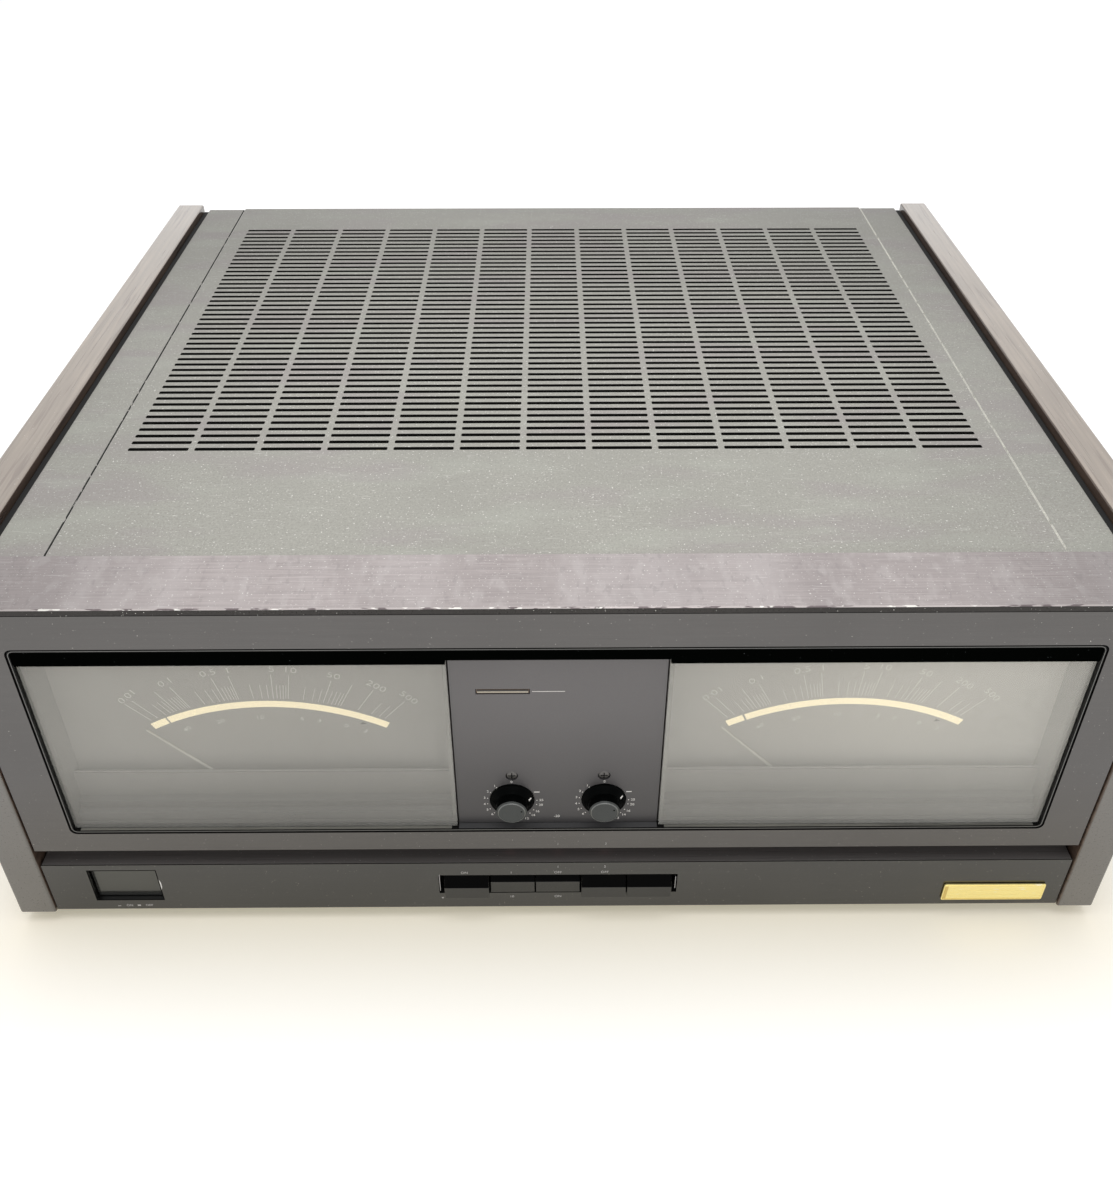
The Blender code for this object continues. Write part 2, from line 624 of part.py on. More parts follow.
def control_parts(parent):
    """Plate between the meters, its status lens, and the folded carrier behind it."""
    plate = box(-CONTROL_HALF, CONTROL_HALF, CONTROL_RECESS, CONTROL_BACK, PANE_BOTTOM, PANE_TOP)
    plate = piece("control_panel", plate, "control_plate", parent)
    start, end = CONTROL_RECESS - OVERRUN, CONTROL_BACK + OVERRUN
    openings = []
    for _, sign in SIDES:
        knob_x = sign * KNOB_SPACING / 2
        openings.append(circle(knob_x, KNOB_LEVEL, SKIRT_RADIUS + KNOB_HOLE_MARGIN, FINE_SEGMENTS))
        screw_x = sign * PLATE_SCREW_SPACING / 2
        openings.append(circle(screw_x, KNOB_LEVEL + PLATE_SCREW_RISE, PLATE_SCREW_RADIUS, SMALL_SEGMENTS))
    status_left = -STATUS_OFFSET - STATUS_LENGTH / 2
    status_bottom = WINDOW_TOP - STATUS_DROP
    openings.append(
        rectangle(status_left, status_left + STATUS_LENGTH, status_bottom, status_bottom + STATUS_HEIGHT)
    )
    cut(plate, *[extruded(outline, "Y", start, end) for outline in openings])

    lens = box(
        status_left + CLEAR,
        status_left + STATUS_LENGTH - CLEAR,
        CONTROL_RECESS + STATUS_RECESS,
        CONTROL_BACK,
        status_bottom + CLEAR,
        status_bottom + STATUS_HEIGHT - CLEAR,
    )
    piece("status_lens", lens, "lamp_lens", parent)

    inside = CONTROL_HALF - CARRIER_THICK
    fold = [
        (CONTROL_HALF, METER_BACK),
        (CONTROL_HALF, CARRIER_FRONT),
        (-CONTROL_HALF, CARRIER_FRONT),
        (-CONTROL_HALF, METER_BACK),
        (-inside, METER_BACK),
        (-inside, CARRIER_BACK),
        (inside, CARRIER_BACK),
        (inside, METER_BACK),
    ]
    carrier = piece("control_carrier", extruded(fold, "Z", PANE_BOTTOM, PANE_TOP), "plated_steel", parent)
    holes = [
        extruded(
            circle(sign * KNOB_SPACING / 2, KNOB_LEVEL, BUSH_RADIUS + CLEAR),
            "Y",
            CARRIER_FRONT - OVERRUN,
            CARRIER_BACK + OVERRUN,
        )
        for _, sign in SIDES
    ]
    cut(carrier, *holes)


def level_controls(parent):
    """Knobs with their shafts, and the rotary controls that carry them.

    Each is turned around its own Z, which points to the viewer, with height 0 at the control panel's face.
    """
    knob_profile = [
        (0.0, KNOB_LENGTH),
        (KNOB_CAP_RADIUS - KNOB_CAP_BEVEL, KNOB_LENGTH),
        (KNOB_CAP_RADIUS, KNOB_LENGTH - KNOB_CAP_BEVEL),
        (KNOB_TIP_RADIUS, KNOB_LENGTH - KNOB_CAP_BEVEL),
        (KNOB_ROOT_RADIUS, SKIRT_EDGE + SKIRT_RISE),
        (SKIRT_RADIUS, SKIRT_EDGE),
        (SKIRT_RADIUS, -KNOB_SINK),
        (SHAFT_RADIUS + CLEAR, -KNOB_SINK),
        (SHAFT_RADIUS + CLEAR, KNOB_LENGTH - KNOB_TOP_WALL),
        (0.0, KNOB_LENGTH - KNOB_TOP_WALL),
    ]
    body_front = CONTROL_RECESS - CARRIER_BACK - CLEAR
    bush_front = body_front + BUSH_LENGTH
    body_back = body_front - CONTROL_BODY_DEPTH
    bore_end = bush_front - CONTROL_BORE_DEPTH
    shaft_profile = [
        (0.0, KNOB_LENGTH - KNOB_TOP_WALL - CLEAR),
        (SHAFT_RADIUS, KNOB_LENGTH - KNOB_TOP_WALL - CLEAR),
        (SHAFT_RADIUS, bore_end + CLEAR),
        (0.0, bore_end + CLEAR),
    ]
    control_profile = [
        (0.0, bore_end),
        (SHAFT_RADIUS + CLEAR, bore_end),
        (SHAFT_RADIUS + CLEAR, bush_front),
        (BUSH_RADIUS, bush_front),
        (BUSH_RADIUS, body_front),
        (CONTROL_BODY_RADIUS, body_front),
        (CONTROL_BODY_RADIUS, body_back),
        (0.0, body_back),
    ]
    for (side, sign), turn in zip(SIDES, (LEFT_KNOB_TURN, RIGHT_KNOB_TURN)):
        axis_point = (sign * KNOB_SPACING / 2, CONTROL_RECESS, KNOB_LEVEL)
        facing = (90.0, turn, 0.0)
        knob = turned(knob_profile, FINE_SEGMENTS)
        piece(f"level_knob_{side}", knob, "knob_grey", parent, axis_point, facing)
        shaft = turned(shaft_profile, SMALL_SEGMENTS)
        piece(f"level_shaft_{side}", shaft, "shaft_steel", parent, axis_point, facing)
        control = turned(control_profile)
        piece(f"level_control_{side}", control, "plated_steel", parent, axis_point, (90.0, 0.0, 0.0))


def meter_housing(side, sign, parent):
    """Deep box that opens to the glass, with a low cover wall in front of the pivot."""
    outer = [
        (METER_FRONT, PANE_BOTTOM),
        (METER_STEP, PANE_BOTTOM),
        (METER_STEP, METER_BOTTOM),
        (METER_BACK, METER_BOTTOM),
        (METER_BACK, PANE_TOP),
        (METER_FRONT, PANE_TOP),
    ]
    cover_top = WINDOW_BOTTOM + METER_COVER_RISE
    cover_back = METER_STEP + METER_WALL
    hollow = [
        (METER_FRONT - OVERRUN, PANE_BOTTOM + METER_WALL),
        (METER_STEP, PANE_BOTTOM + METER_WALL),
        (METER_STEP, cover_top),
        (cover_back, cover_top),
        (cover_back, METER_BOTTOM + METER_WALL),
        (METER_BACK - METER_WALL, METER_BOTTOM + METER_WALL),
        (METER_BACK - METER_WALL, PANE_TOP - METER_WALL),
        (METER_FRONT - OVERRUN, PANE_TOP - METER_WALL),
    ]
    inner_end, outer_end = sign * METER_INNER, sign * PANE_HALF
    housing = piece(
        f"meter_housing_{side}", extruded(outer, "X", inner_end, outer_end), "black_plastic", parent
    )
    cut(housing, extruded(hollow, "X", inner_end + sign * METER_WALL, outer_end - sign * METER_WALL))


def meter_works(side, sign, parent):
    """Scale plate, needle on its staff, and the movement that turns it."""
    pivot_x = sign * PIVOT_OFFSET
    margin = METER_WALL + CLEAR
    ends = sorted((sign * (METER_INNER + margin), sign * (PANE_HALF - margin)))
    scale = box(*ends, SCALE_DEPTH, SCALE_BACK, METER_BOTTOM + margin, PANE_TOP - margin)
    scale = piece(f"meter_scale_{side}", scale, "scale_face", parent)
    staff_hole = circle(pivot_x, PIVOT_LEVEL, SCALE_HOLE_RADIUS, SMALL_SEGMENTS)
    cut(scale, extruded(staff_hole, "Y", SCALE_DEPTH - OVERRUN, SCALE_BACK + OVERRUN))

    # The needle's Z points to the viewer, with height 0 at the scale's face, and its Y along the blade.
    hub_back = HUB_CLEAR
    hub_front = SCALE_DEPTH - METER_STEP - METER_WALL - HUB_CLEAR
    staff_end = SCALE_DEPTH - MOVEMENT_FRONT - BEARING_DEPTH + CLEAR
    hub_profile = [
        (0.0, hub_front),
        (HUB_RADIUS, hub_front),
        (HUB_RADIUS, hub_back),
        (STAFF_RADIUS, hub_back),
        (STAFF_RADIUS, staff_end),
        (0.0, staff_end),
    ]
    needle = piece(
        f"meter_needle_{side}",
        turned(hub_profile, SMALL_SEGMENTS),
        "needle_cream",
        parent,
        (pivot_x, SCALE_DEPTH, PIVOT_LEVEL),
        (90.0, NEEDLE_REST, 0.0),
    )
    blade_middle = (hub_front + hub_back) / 2
    blade = [
        (-NEEDLE_ROOT_WIDTH / 2, -NEEDLE_TAIL),
        (NEEDLE_ROOT_WIDTH / 2, -NEEDLE_TAIL),
        (NEEDLE_ROOT_WIDTH / 2, HUB_RADIUS),
        (NEEDLE_TIP_WIDTH / 2, NEEDLE_LENGTH),
        (-NEEDLE_TIP_WIDTH / 2, NEEDLE_LENGTH),
        (-NEEDLE_ROOT_WIDTH / 2, HUB_RADIUS),
    ]
    joined(needle, extruded(blade, "Z", blade_middle - NEEDLE_THICK / 2, blade_middle + NEEDLE_THICK / 2))

    movement_depth = METER_BACK - METER_WALL - CLEAR - MOVEMENT_FRONT
    movement_profile = [
        (0.0, -BEARING_DEPTH),
        (STAFF_RADIUS + CLEAR, -BEARING_DEPTH),
        (STAFF_RADIUS + CLEAR, 0.0),
        (MOVEMENT_RADIUS, 0.0),
        (MOVEMENT_RADIUS, -movement_depth),
        (0.0, -movement_depth),
    ]
    piece(
        f"meter_movement_{side}",
        turned(movement_profile),
        "black_plastic",
        parent,
        (pivot_x, MOVEMENT_FRONT, PIVOT_LEVEL),
        (90.0, 0.0, 0.0),
    )


def groove_lamps(parent):
    """Smoked strip at the back of the groove with three domed lamps in it."""
    strip_back = STRIP_RECESS + STRIP_THICK
    half = PANEL_HALF - CLEAR
    strip = box(-half, half, STRIP_RECESS, strip_back, LOWER_TOP + CLEAR, UPPER_BOTTOM - CLEAR)
    strip = piece("indicator_strip", strip, "smoked_plastic", parent)
    level = LOWER_TOP + LAMP_RISE
    places = [LAMP_PITCH * step for step in (-1, 0, 1)]
    holes = [circle(x, level, LAMP_RADIUS + CLEAR, SMALL_SEGMENTS) for x in places]
    cut(strip, *[extruded(hole, "Y", STRIP_RECESS - OVERRUN, strip_back + OVERRUN) for hole in holes])
    profile = [
        (0.0, LAMP_PROUD),
        (LAMP_RADIUS - LAMP_DOME, LAMP_PROUD),
        (LAMP_RADIUS, LAMP_PROUD - LAMP_DOME),
        (LAMP_RADIUS, LAMP_PROUD - LAMP_LENGTH),
        (0.0, LAMP_PROUD - LAMP_LENGTH),
    ]
    for number, x in enumerate(places, start=1):
        piece(
            f"indicator_lamp_{number}",
            turned(profile, SMALL_SEGMENTS),
            "lamp_lens",
            parent,
            (x, STRIP_RECESS, level),
            (90.0, 0.0, 0.0),
        )


def stem(side_length, start, end):
    """A square stem around the origin's Y line."""
    half = side_length / 2
    return box(-half, half, start, end, -half, half)


def power_control(parent):
    """Power button, shown pushed in, and the switch behind it. The button slides along its own Y."""
    half_width = POWER_WIDTH / 2 - POWER_MARGIN
    half_height = POWER_HEIGHT / 2 - POWER_MARGIN
    cap = box(-half_width, half_width, 0.0, POWER_CAP_DEPTH, -half_height, half_height)
    button = piece("power_button", cap, "knob_grey", parent, (-POWER_OFFSET, POWER_SINK, POWER_LEVEL))
    bevelled(button, POWER_BEVEL)
    joined(button, stem(POWER_STEM_SIDE, POWER_CAP_DEPTH - JOIN, POWER_CAP_DEPTH + POWER_STEM_LENGTH))

    half_width, half_height = POWER_SWITCH_WIDTH / 2, POWER_SWITCH_HEIGHT / 2
    body = box(-half_width, half_width, 0.0, METER_BACK - SWITCH_FRONT, -half_height, half_height)
    switch = piece("power_switch", body, "black_plastic", parent, (-POWER_OFFSET, SWITCH_FRONT, POWER_LEVEL))
    cut(switch, stem(POWER_STEM_SIDE + 2 * CLEAR, -OVERRUN, SWITCH_BORE_DEPTH))


def push_buttons(parent):
    """Five buttons side by side, each with a broad chamfer above its face, and their bank of switches."""
    half_width = (BUTTON_PITCH - BUTTON_GAP) / 2
    bottom = SLOT_BOTTOM + CLEAR - SLOT_LEVEL
    profile = [
        (0.0, bottom),
        (BUTTON_DEPTH, bottom),
        (BUTTON_DEPTH, -bottom),
        (BUTTON_CHAMFER_DEPTH, -bottom),
        (0.0, bottom + BUTTON_FACE_HEIGHT),
    ]
    places = [BUTTON_PITCH * (number - (BUTTON_COUNT + 1) / 2) for number in range(1, BUTTON_COUNT + 1)]
    for number, x in enumerate(places, start=1):
        out = 0.0 if number in BUTTONS_PUSHED_IN else BUTTON_TRAVEL
        cap = extruded(profile, "X", -half_width, half_width)
        button = piece(f"push_button_{number}", cap, "knob_grey", parent, (x, -out, SLOT_LEVEL))
        joined(button, stem(BUTTON_STEM_SIDE, BUTTON_DEPTH - JOIN, BUTTON_DEPTH + BUTTON_STEM_LENGTH))

    body = box(
        -BANK_WIDTH / 2,
        BANK_WIDTH / 2,
        0.0,
        METER_BACK - SWITCH_FRONT,
        -BANK_HEIGHT / 2,
        BANK_HEIGHT / 2,
    )
    bank = piece("switch_bank", body, "black_plastic", parent, (0.0, SWITCH_FRONT, SLOT_LEVEL))
    half = BUTTON_STEM_SIDE / 2 + CLEAR
    cut(bank, *[box(x - half, x + half, -OVERRUN, SWITCH_BORE_DEPTH, -half, half) for x in places])


def name_plate(parent):
    """Bare gold plate on the lower panel."""
    bottom = LOWER_BOTTOM + NAME_PLATE_RISE
    half = NAME_PLATE_WIDTH / 2
    plate = box(
        NAME_PLATE_OFFSET - half,
        NAME_PLATE_OFFSET + half,
        -CLEAR - NAME_PLATE_THICK,
        -CLEAR,
        bottom,
        bottom + NAME_PLATE_HEIGHT,
    )
    bevelled(piece("name_plate", plate, "gold_plate", parent), NAME_PLATE_BEVEL)


def top_cover(parent):
    """Steel cover with a shallow step near each side and the slotted vent field."""
    outer_top = COVER_TOP - COVER_STEP
    half_outline = [
        (COVER_STEP_OFFSET, COVER_TOP - COVER_THICK),
        (COVER_STEP_OFFSET, outer_top - COVER_THICK),
        (COVER_HALF, outer_top - COVER_THICK),
        (COVER_HALF, outer_top),
        (COVER_STEP_OFFSET + COVER_STEP, outer_top),
        (COVER_STEP_OFFSET, COVER_TOP),
    ]
    cover = extruded(mirrored(half_outline), "Y", COVER_FRONT, CASE_REAR)
    cover = piece("top_cover", cover, "painted_steel", parent)
    slot_length = (GRILLE_WIDTH - GRILLE_RIB * (GRILLE_COLUMNS - 1)) / GRILLE_COLUMNS
    row_pitch = (GRILLE_LENGTH - SLOT_OPENING) / (GRILLE_ROWS - 1)
    slots = []
    for column in range(GRILLE_COLUMNS):
        left = -GRILLE_WIDTH / 2 + column * (slot_length + GRILLE_RIB)
        for row in range(GRILLE_ROWS):
            front = GRILLE_FRONT + row * row_pitch
            slot = rectangle(left, left + slot_length, front, front + SLOT_OPENING)
            slots.append(extruded(slot, "Z", COVER_TOP - COVER_THICK - OVERRUN, COVER_TOP + OVERRUN))
    cut(cover, *slots)


def case_sides(parent):
    """Folded side frames and the wood cheeks outside them."""
    for side, sign in SIDES:
        section = [
            (sign * FRAME_OUTER, BASE_BOTTOM),
            (sign * FRAME_OUTER, FRAME_TOP),
            (sign * (FRAME_OUTER - FRAME_FLANGE), FRAME_TOP),
            (sign * (FRAME_OUTER - FRAME_FLANGE), FRAME_TOP - FRAME_THICK),
            (sign * FRAME_INNER, FRAME_TOP - FRAME_THICK),
            (sign * FRAME_INNER, BASE_BOTTOM),
        ]
        piece(f"side_frame_{side}", extruded(section, "Y", FRAME_FRONT, CASE_REAR), "plated_steel", parent)
        ends = sorted((sign * CHEEK_INNER, sign * BODY_WIDTH / 2))
        cheek = box(*ends, -CHEEK_LEAD, REAR_REACH, CHEEK_GROUND, BODY_HEIGHT)
        bevelled(piece(f"side_cheek_{side}", cheek, "dark_wood", parent), CHEEK_BEVEL, segments=2)


def case_plates(parent):
    """Bottom plate with turned-up sides, the inner cross plate and the rear panel."""
    half_section = [
        (BASE_HALF, BASE_BOTTOM),
        (BASE_HALF, BASE_TOP + BASE_FLANGE_HEIGHT),
        (BASE_HALF - BASE_FLANGE_THICK, BASE_TOP + BASE_FLANGE_HEIGHT),
        (BASE_HALF - BASE_FLANGE_THICK, BASE_TOP),
    ]
    base = extruded(mirrored(half_section), "Y", PANEL_THICK + CLEAR, CASE_REAR)
    piece("bottom_plate", base, "plated_steel", parent)

    cross = box(
        -INNER_HALF, INNER_HALF, CHASSIS_SETBACK, CHASSIS_SETBACK + CHASSIS_THICK, FLOOR_LEVEL, CEILING_LEVEL
    )
    piece("sub_chassis", cross, "plated_steel", parent)

    notch = FRAME_OUTER - FRAME_FLANGE - CLEAR
    half_outline = [
        (INNER_HALF, FLOOR_LEVEL),
        (INNER_HALF, CEILING_LEVEL),
        (notch, CEILING_LEVEL),
        (notch, COVER_TOP - COVER_STEP - COVER_THICK - CLEAR),
    ]
    panel = extruded(mirrored(half_outline), "Y", REAR_FACE - REAR_THICK, REAR_FACE)
    panel = piece("rear_panel", panel, "plated_steel", parent)
    start, end = REAR_FACE - REAR_THICK - OVERRUN, REAR_FACE + OVERRUN
    half_width, half_height = BLOCK_WIDTH / 2 - BLOCK_BACK_MARGIN, BLOCK_HEIGHT / 2 - BLOCK_BACK_MARGIN
    openings = [
        box(
            sign * BLOCK_OFFSET - half_width,
            sign * BLOCK_OFFSET + half_width,
            start,
            end,
            BLOCK_LEVEL - half_height,
            BLOCK_LEVEL + half_height,
        )
        for _, sign in SIDES
    ]
    neck = circle(-BUSHING_OFFSET, BUSHING_LEVEL, BUSHING_NECK_RADIUS + CLEAR)
    openings.append(extruded(neck, "Y", start, end))
    cut(panel, *openings)


def feet(parent):
    """Four round rubber feet under the bottom plate."""
    profile = [
        (0.0, FOOT_HEIGHT),
        (FOOT_RADIUS, FOOT_HEIGHT),
        (FOOT_RADIUS - FOOT_TAPER, FOOT_BEVEL),
        (FOOT_RADIUS - FOOT_TAPER - FOOT_BEVEL, 0.0),
        (0.0, 0.0),
    ]
    places = [(sign * FOOT_OFFSET, y) for y in (FOOT_FRONT, FOOT_REAR) for _, sign in SIDES]
    for number, (x, y) in enumerate(places, start=1):
        piece(f"foot_{number}", turned(profile), "rubber", parent, (x, y, 0.0))


def heat_sinks(parent):
    """Finned heat sinks along both sides, each with its amplifier board on the flat inner face."""
    gap = (SINK_LENGTH - FIN_THICK) / (FIN_COUNT - 1)
    inner = INNER_HALF - SINK_WIDTH
    for side, sign in SIDES:
        comb = [(sign * inner, SINK_FRONT + SINK_LENGTH), (sign * inner, SINK_FRONT)]
        for fin in range(FIN_COUNT):
            front = SINK_FRONT + fin * gap
            back = front + FIN_THICK
            root = (sign * (inner + SINK_BASE), front)
            if fin > 0:
                comb.append(root)
            comb += [(sign * INNER_HALF, front), (sign * INNER_HALF, back)]
            if fin < FIN_COUNT - 1:
                comb.append((sign * (inner + SINK_BASE), back))
        sink = extruded(comb, "Z", FLOOR_LEVEL, FLOOR_LEVEL + SINK_HEIGHT)
        piece(f"heat_sink_{side}", sink, "raw_aluminium", parent)
        amplifier_board(side, sign, inner - CLEAR, parent)


def amplifier_board(side, sign, face, parent):
    """Upright board with a row of power transistors against the heat sink and cans on the inner side."""
    board_outer = face - TRANSISTOR_DEPTH
    board_inner = board_outer - BOARD_THICK
    front, back = SINK_FRONT + BOARD_MARGIN, SINK_FRONT + SINK_LENGTH - BOARD_MARGIN
    bottom, top = FLOOR_LEVEL, FLOOR_LEVEL + SINK_HEIGHT - BOARD_MARGIN
    board = box(*sorted((sign * board_inner, sign * board_outer)), front, back, bottom, top)
    board = piece(f"amplifier_board_{side}", board, "circuit_board", parent)
    middle = (bottom + top) / 2
    pitch = (back - front) / TRANSISTOR_COUNT
    ends = sorted((sign * (board_outer - JOIN), sign * face))
    transistors = []
    for number in range(TRANSISTOR_COUNT):
        y = front + pitch * (number + 1 / 2)
        transistors.append(
            box(
                *ends,
                y - TRANSISTOR_WIDTH / 2,
                y + TRANSISTOR_WIDTH / 2,
                middle - TRANSISTOR_HEIGHT / 2,
                middle + TRANSISTOR_HEIGHT / 2,
            )
        )
    can_pitch = (back - front) / BOARD_CAN_COUNT
    cans = []
    for number in range(BOARD_CAN_COUNT):
        y = front + can_pitch * (number + 1 / 2)
        outline = circle(y, middle, BOARD_CAN_RADIUS, SMALL_SEGMENTS)
        ends = (sign * (board_inner + JOIN), sign * (board_inner - BOARD_CAN_LENGTH))
        cans.append(extruded(outline, "X", *ends))
    joined(board, *transistors, *cans)


def power_supply(parent):
    """Canned transformer on a rim, and two reservoir capacitors behind it."""
    top = TRANSFORMER_HEIGHT
    profile = [
        (0.0, top - TRANSFORMER_WELL_DEPTH),
        (TRANSFORMER_WELL_RADIUS, top - TRANSFORMER_WELL_DEPTH),
        (TRANSFORMER_WELL_RADIUS, top),
        (TRANSFORMER_RADIUS - TRANSFORMER_BEVEL, top),
        (TRANSFORMER_RADIUS, top - TRANSFORMER_BEVEL),
        (TRANSFORMER_RADIUS, TRANSFORMER_RIM_THICK),
        (TRANSFORMER_RADIUS + TRANSFORMER_RIM, TRANSFORMER_RIM_THICK),
        (TRANSFORMER_RADIUS + TRANSFORMER_RIM, 0.0),
        (0.0, 0.0),
    ]
    piece("transformer", turned(profile), "plated_steel", parent, (0.0, TRANSFORMER_Y, FLOOR_LEVEL))

    top = RESERVOIR_HEIGHT
    profile = [
        (0.0, top - RESERVOIR_LIP),
        (RESERVOIR_RADIUS - RESERVOIR_LIP, top - RESERVOIR_LIP),
        (RESERVOIR_RADIUS - RESERVOIR_LIP, top),
        (RESERVOIR_RADIUS, top),
        (RESERVOIR_RADIUS, RESERVOIR_BEVEL),
        (RESERVOIR_RADIUS - RESERVOIR_BEVEL, 0.0),
        (0.0, 0.0),
    ]
    for side, sign in SIDES:
        place = (sign * RESERVOIR_SPACING / 2, RESERVOIR_Y, FLOOR_LEVEL)
        piece(f"reservoir_capacitor_{side}", turned(profile), "can_sleeve", parent, place)


def fitting(profile, face, x, z):
    """A turned shape that points backwards from a plate's face."""
    made = turned(profile, SMALL_SEGMENTS)
    made.transform(Matrix.Translation((x, face, z)) @ Matrix.Rotation(-math.pi / 2, 4, "X"))
    return made


def connectors(parent):
    """Speaker terminals, input jacks and the bushing where the mains cord leaves."""
    post = [
        (0.0, -JOIN),
        (POST_COLLAR_RADIUS, -JOIN),
        (POST_COLLAR_RADIUS, POST_COLLAR_LENGTH),
        (POST_NECK_RADIUS, POST_COLLAR_LENGTH),
        (POST_NECK_RADIUS, POST_COLLAR_LENGTH + POST_NECK_LENGTH),
        (POST_CAP_RADIUS, POST_COLLAR_LENGTH + POST_NECK_LENGTH),
        (POST_CAP_RADIUS, POST_COLLAR_LENGTH + POST_NECK_LENGTH + POST_CAP_LENGTH - POST_CAP_BEVEL),
        (POST_CAP_RADIUS - POST_CAP_BEVEL, POST_COLLAR_LENGTH + POST_NECK_LENGTH + POST_CAP_LENGTH),
        (0.0, POST_COLLAR_LENGTH + POST_NECK_LENGTH + POST_CAP_LENGTH),
    ]
    half_width, half_height = BLOCK_WIDTH / 2, BLOCK_HEIGHT / 2
    back_half_width = half_width - BLOCK_BACK_MARGIN - CLEAR
    back_half_height = half_height - BLOCK_BACK_MARGIN - CLEAR
    for side, sign in SIDES:
        plate = box(-half_width, half_width, 0.0, BLOCK_THICK, -half_height, half_height)
        place = (sign * BLOCK_OFFSET, CONNECTOR_FACE, BLOCK_LEVEL)
        block = piece(f"speaker_terminals_{side}", plate, "black_plastic", parent, place)
        back = box(
            -back_half_width, back_half_width, -BLOCK_BACK_DEPTH, JOIN, -back_half_height, back_half_height
        )
        posts = [
            fitting(post, BLOCK_THICK, POST_PITCH * (number - (POST_COUNT - 1) / 2), 0.0)
            for number in range(POST_COUNT)
        ]
        joined(block, back, *posts)

    jack = [
        (0.0, -JOIN),
        (JACK_RADIUS, -JOIN),
        (JACK_RADIUS, JACK_LENGTH),
        (JACK_BORE_RADIUS, JACK_LENGTH),
        (JACK_BORE_RADIUS, JOIN),
        (0.0, JOIN),
    ]
    plate = box(
        -JACK_PLATE_WIDTH / 2,
        JACK_PLATE_WIDTH / 2,
        0.0,
        JACK_PLATE_THICK,
        -JACK_PLATE_HEIGHT / 2,
        JACK_PLATE_HEIGHT / 2,
    )
    jacks = piece("input_jacks", plate, "black_plastic", parent, (0.0, CONNECTOR_FACE, JACK_LEVEL))
    joined(jacks, *[fitting(jack, JACK_PLATE_THICK, sign * JACK_SPACING / 2, 0.0) for _, sign in SIDES])

    bushing = [
        (0.0, -BUSHING_NECK_LENGTH),
        (BUSHING_NECK_RADIUS, -BUSHING_NECK_LENGTH),
        (BUSHING_NECK_RADIUS, 0.0),
        (BUSHING_HEAD_RADIUS, 0.0),
        (BUSHING_HEAD_RADIUS, BUSHING_HEAD_LENGTH - BUSHING_BEVEL),
        (BUSHING_HEAD_RADIUS - BUSHING_BEVEL, BUSHING_HEAD_LENGTH),
        (BUSHING_DIMPLE_RADIUS, BUSHING_HEAD_LENGTH),
        (BUSHING_DIMPLE_RADIUS, BUSHING_HEAD_LENGTH - BUSHING_DIMPLE_DEPTH),
        (0.0, BUSHING_HEAD_LENGTH - BUSHING_DIMPLE_DEPTH),
    ]
    place = (-BUSHING_OFFSET, CONNECTOR_FACE, BUSHING_LEVEL)
    piece("mains_bushing", turned(bushing), "rubber", parent, place, (-90.0, 0.0, 0.0))


def main():
    """Builds the whole amplifier."""
    clear_scene()
    assembly = bpy.data.objects.new("assembly", None)
    assembly.location = (0.0, ORIGIN_SHIFT, 0.0)
    bpy.context.scene.collection.objects.link(assembly)
    front_panels(assembly)
    window_parts(assembly)
    control_parts(assembly)
    level_controls(assembly)
    for side, sign in SIDES:
        meter_housing(side, sign, assembly)
        meter_works(side, sign, assembly)
    groove_lamps(assembly)
    power_control(assembly)
    push_buttons(assembly)
    name_plate(assembly)
    top_cover(assembly)
    case_sides(assembly)
    case_plates(assembly)
    feet(assembly)
    heat_sinks(assembly)
    power_supply(assembly)
    connectors(assembly)


main()
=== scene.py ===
"""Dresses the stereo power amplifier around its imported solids.

Everything is in metres in the frame of the solids: X to the viewer's right, Y to the rear, Z up from the
floor. "Behind the face" means behind the front face of the upper front panel.
"""

import json
import logging
import math
import random
from dataclasses import dataclass
from enum import Enum

import bmesh
import bpy
from mathutils import Euler, Matrix, Vector


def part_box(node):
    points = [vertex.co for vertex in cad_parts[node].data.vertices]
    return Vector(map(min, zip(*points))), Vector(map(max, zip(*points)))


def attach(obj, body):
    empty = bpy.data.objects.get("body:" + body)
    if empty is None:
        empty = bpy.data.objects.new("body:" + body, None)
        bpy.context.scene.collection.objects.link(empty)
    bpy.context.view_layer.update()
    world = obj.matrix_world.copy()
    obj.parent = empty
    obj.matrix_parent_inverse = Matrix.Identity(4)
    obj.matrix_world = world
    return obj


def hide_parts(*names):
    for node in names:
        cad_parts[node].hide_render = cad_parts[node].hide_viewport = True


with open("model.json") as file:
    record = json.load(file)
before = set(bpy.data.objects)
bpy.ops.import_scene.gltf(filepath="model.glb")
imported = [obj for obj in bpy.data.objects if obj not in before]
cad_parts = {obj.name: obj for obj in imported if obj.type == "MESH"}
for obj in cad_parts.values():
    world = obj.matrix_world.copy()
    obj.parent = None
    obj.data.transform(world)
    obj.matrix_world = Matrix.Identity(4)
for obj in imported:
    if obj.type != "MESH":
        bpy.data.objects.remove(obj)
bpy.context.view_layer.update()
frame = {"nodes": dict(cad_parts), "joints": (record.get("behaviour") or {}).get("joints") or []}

Colour = tuple[float, float, float]
Place = tuple[float, float, float]
Flat = tuple[float, float]
Bands = dict[int, "Finish"]

MM = 0.001
LOG = logging.getLogger("amplifier")
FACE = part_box("front_panel")[0].y
CHASSIS = "chassis"
SMOOTH_ANGLE = math.radians(32.0)
ROUNDED_ANGLE = math.radians(30.0)
DRESSED_ANGLE = math.radians(40.0)
COAT_ROUGHNESS = 0.08
BUMP_DEPTH = 0.1 * MM
# How far a laid-on piece reaches into its neighbour or stays off it.
SEAT = 0.05 * MM


class Grain(Enum):
    """How a surface's grain is drawn out along each axis."""

    EVEN = (1.0, 1.0, 1.0)
    ALONG_X = (90.0, 1.0, 1.0)
    ALONG_Z = (1.0, 1.0, 90.0)
    WOOD = (1.0, 45.0, 2.5)


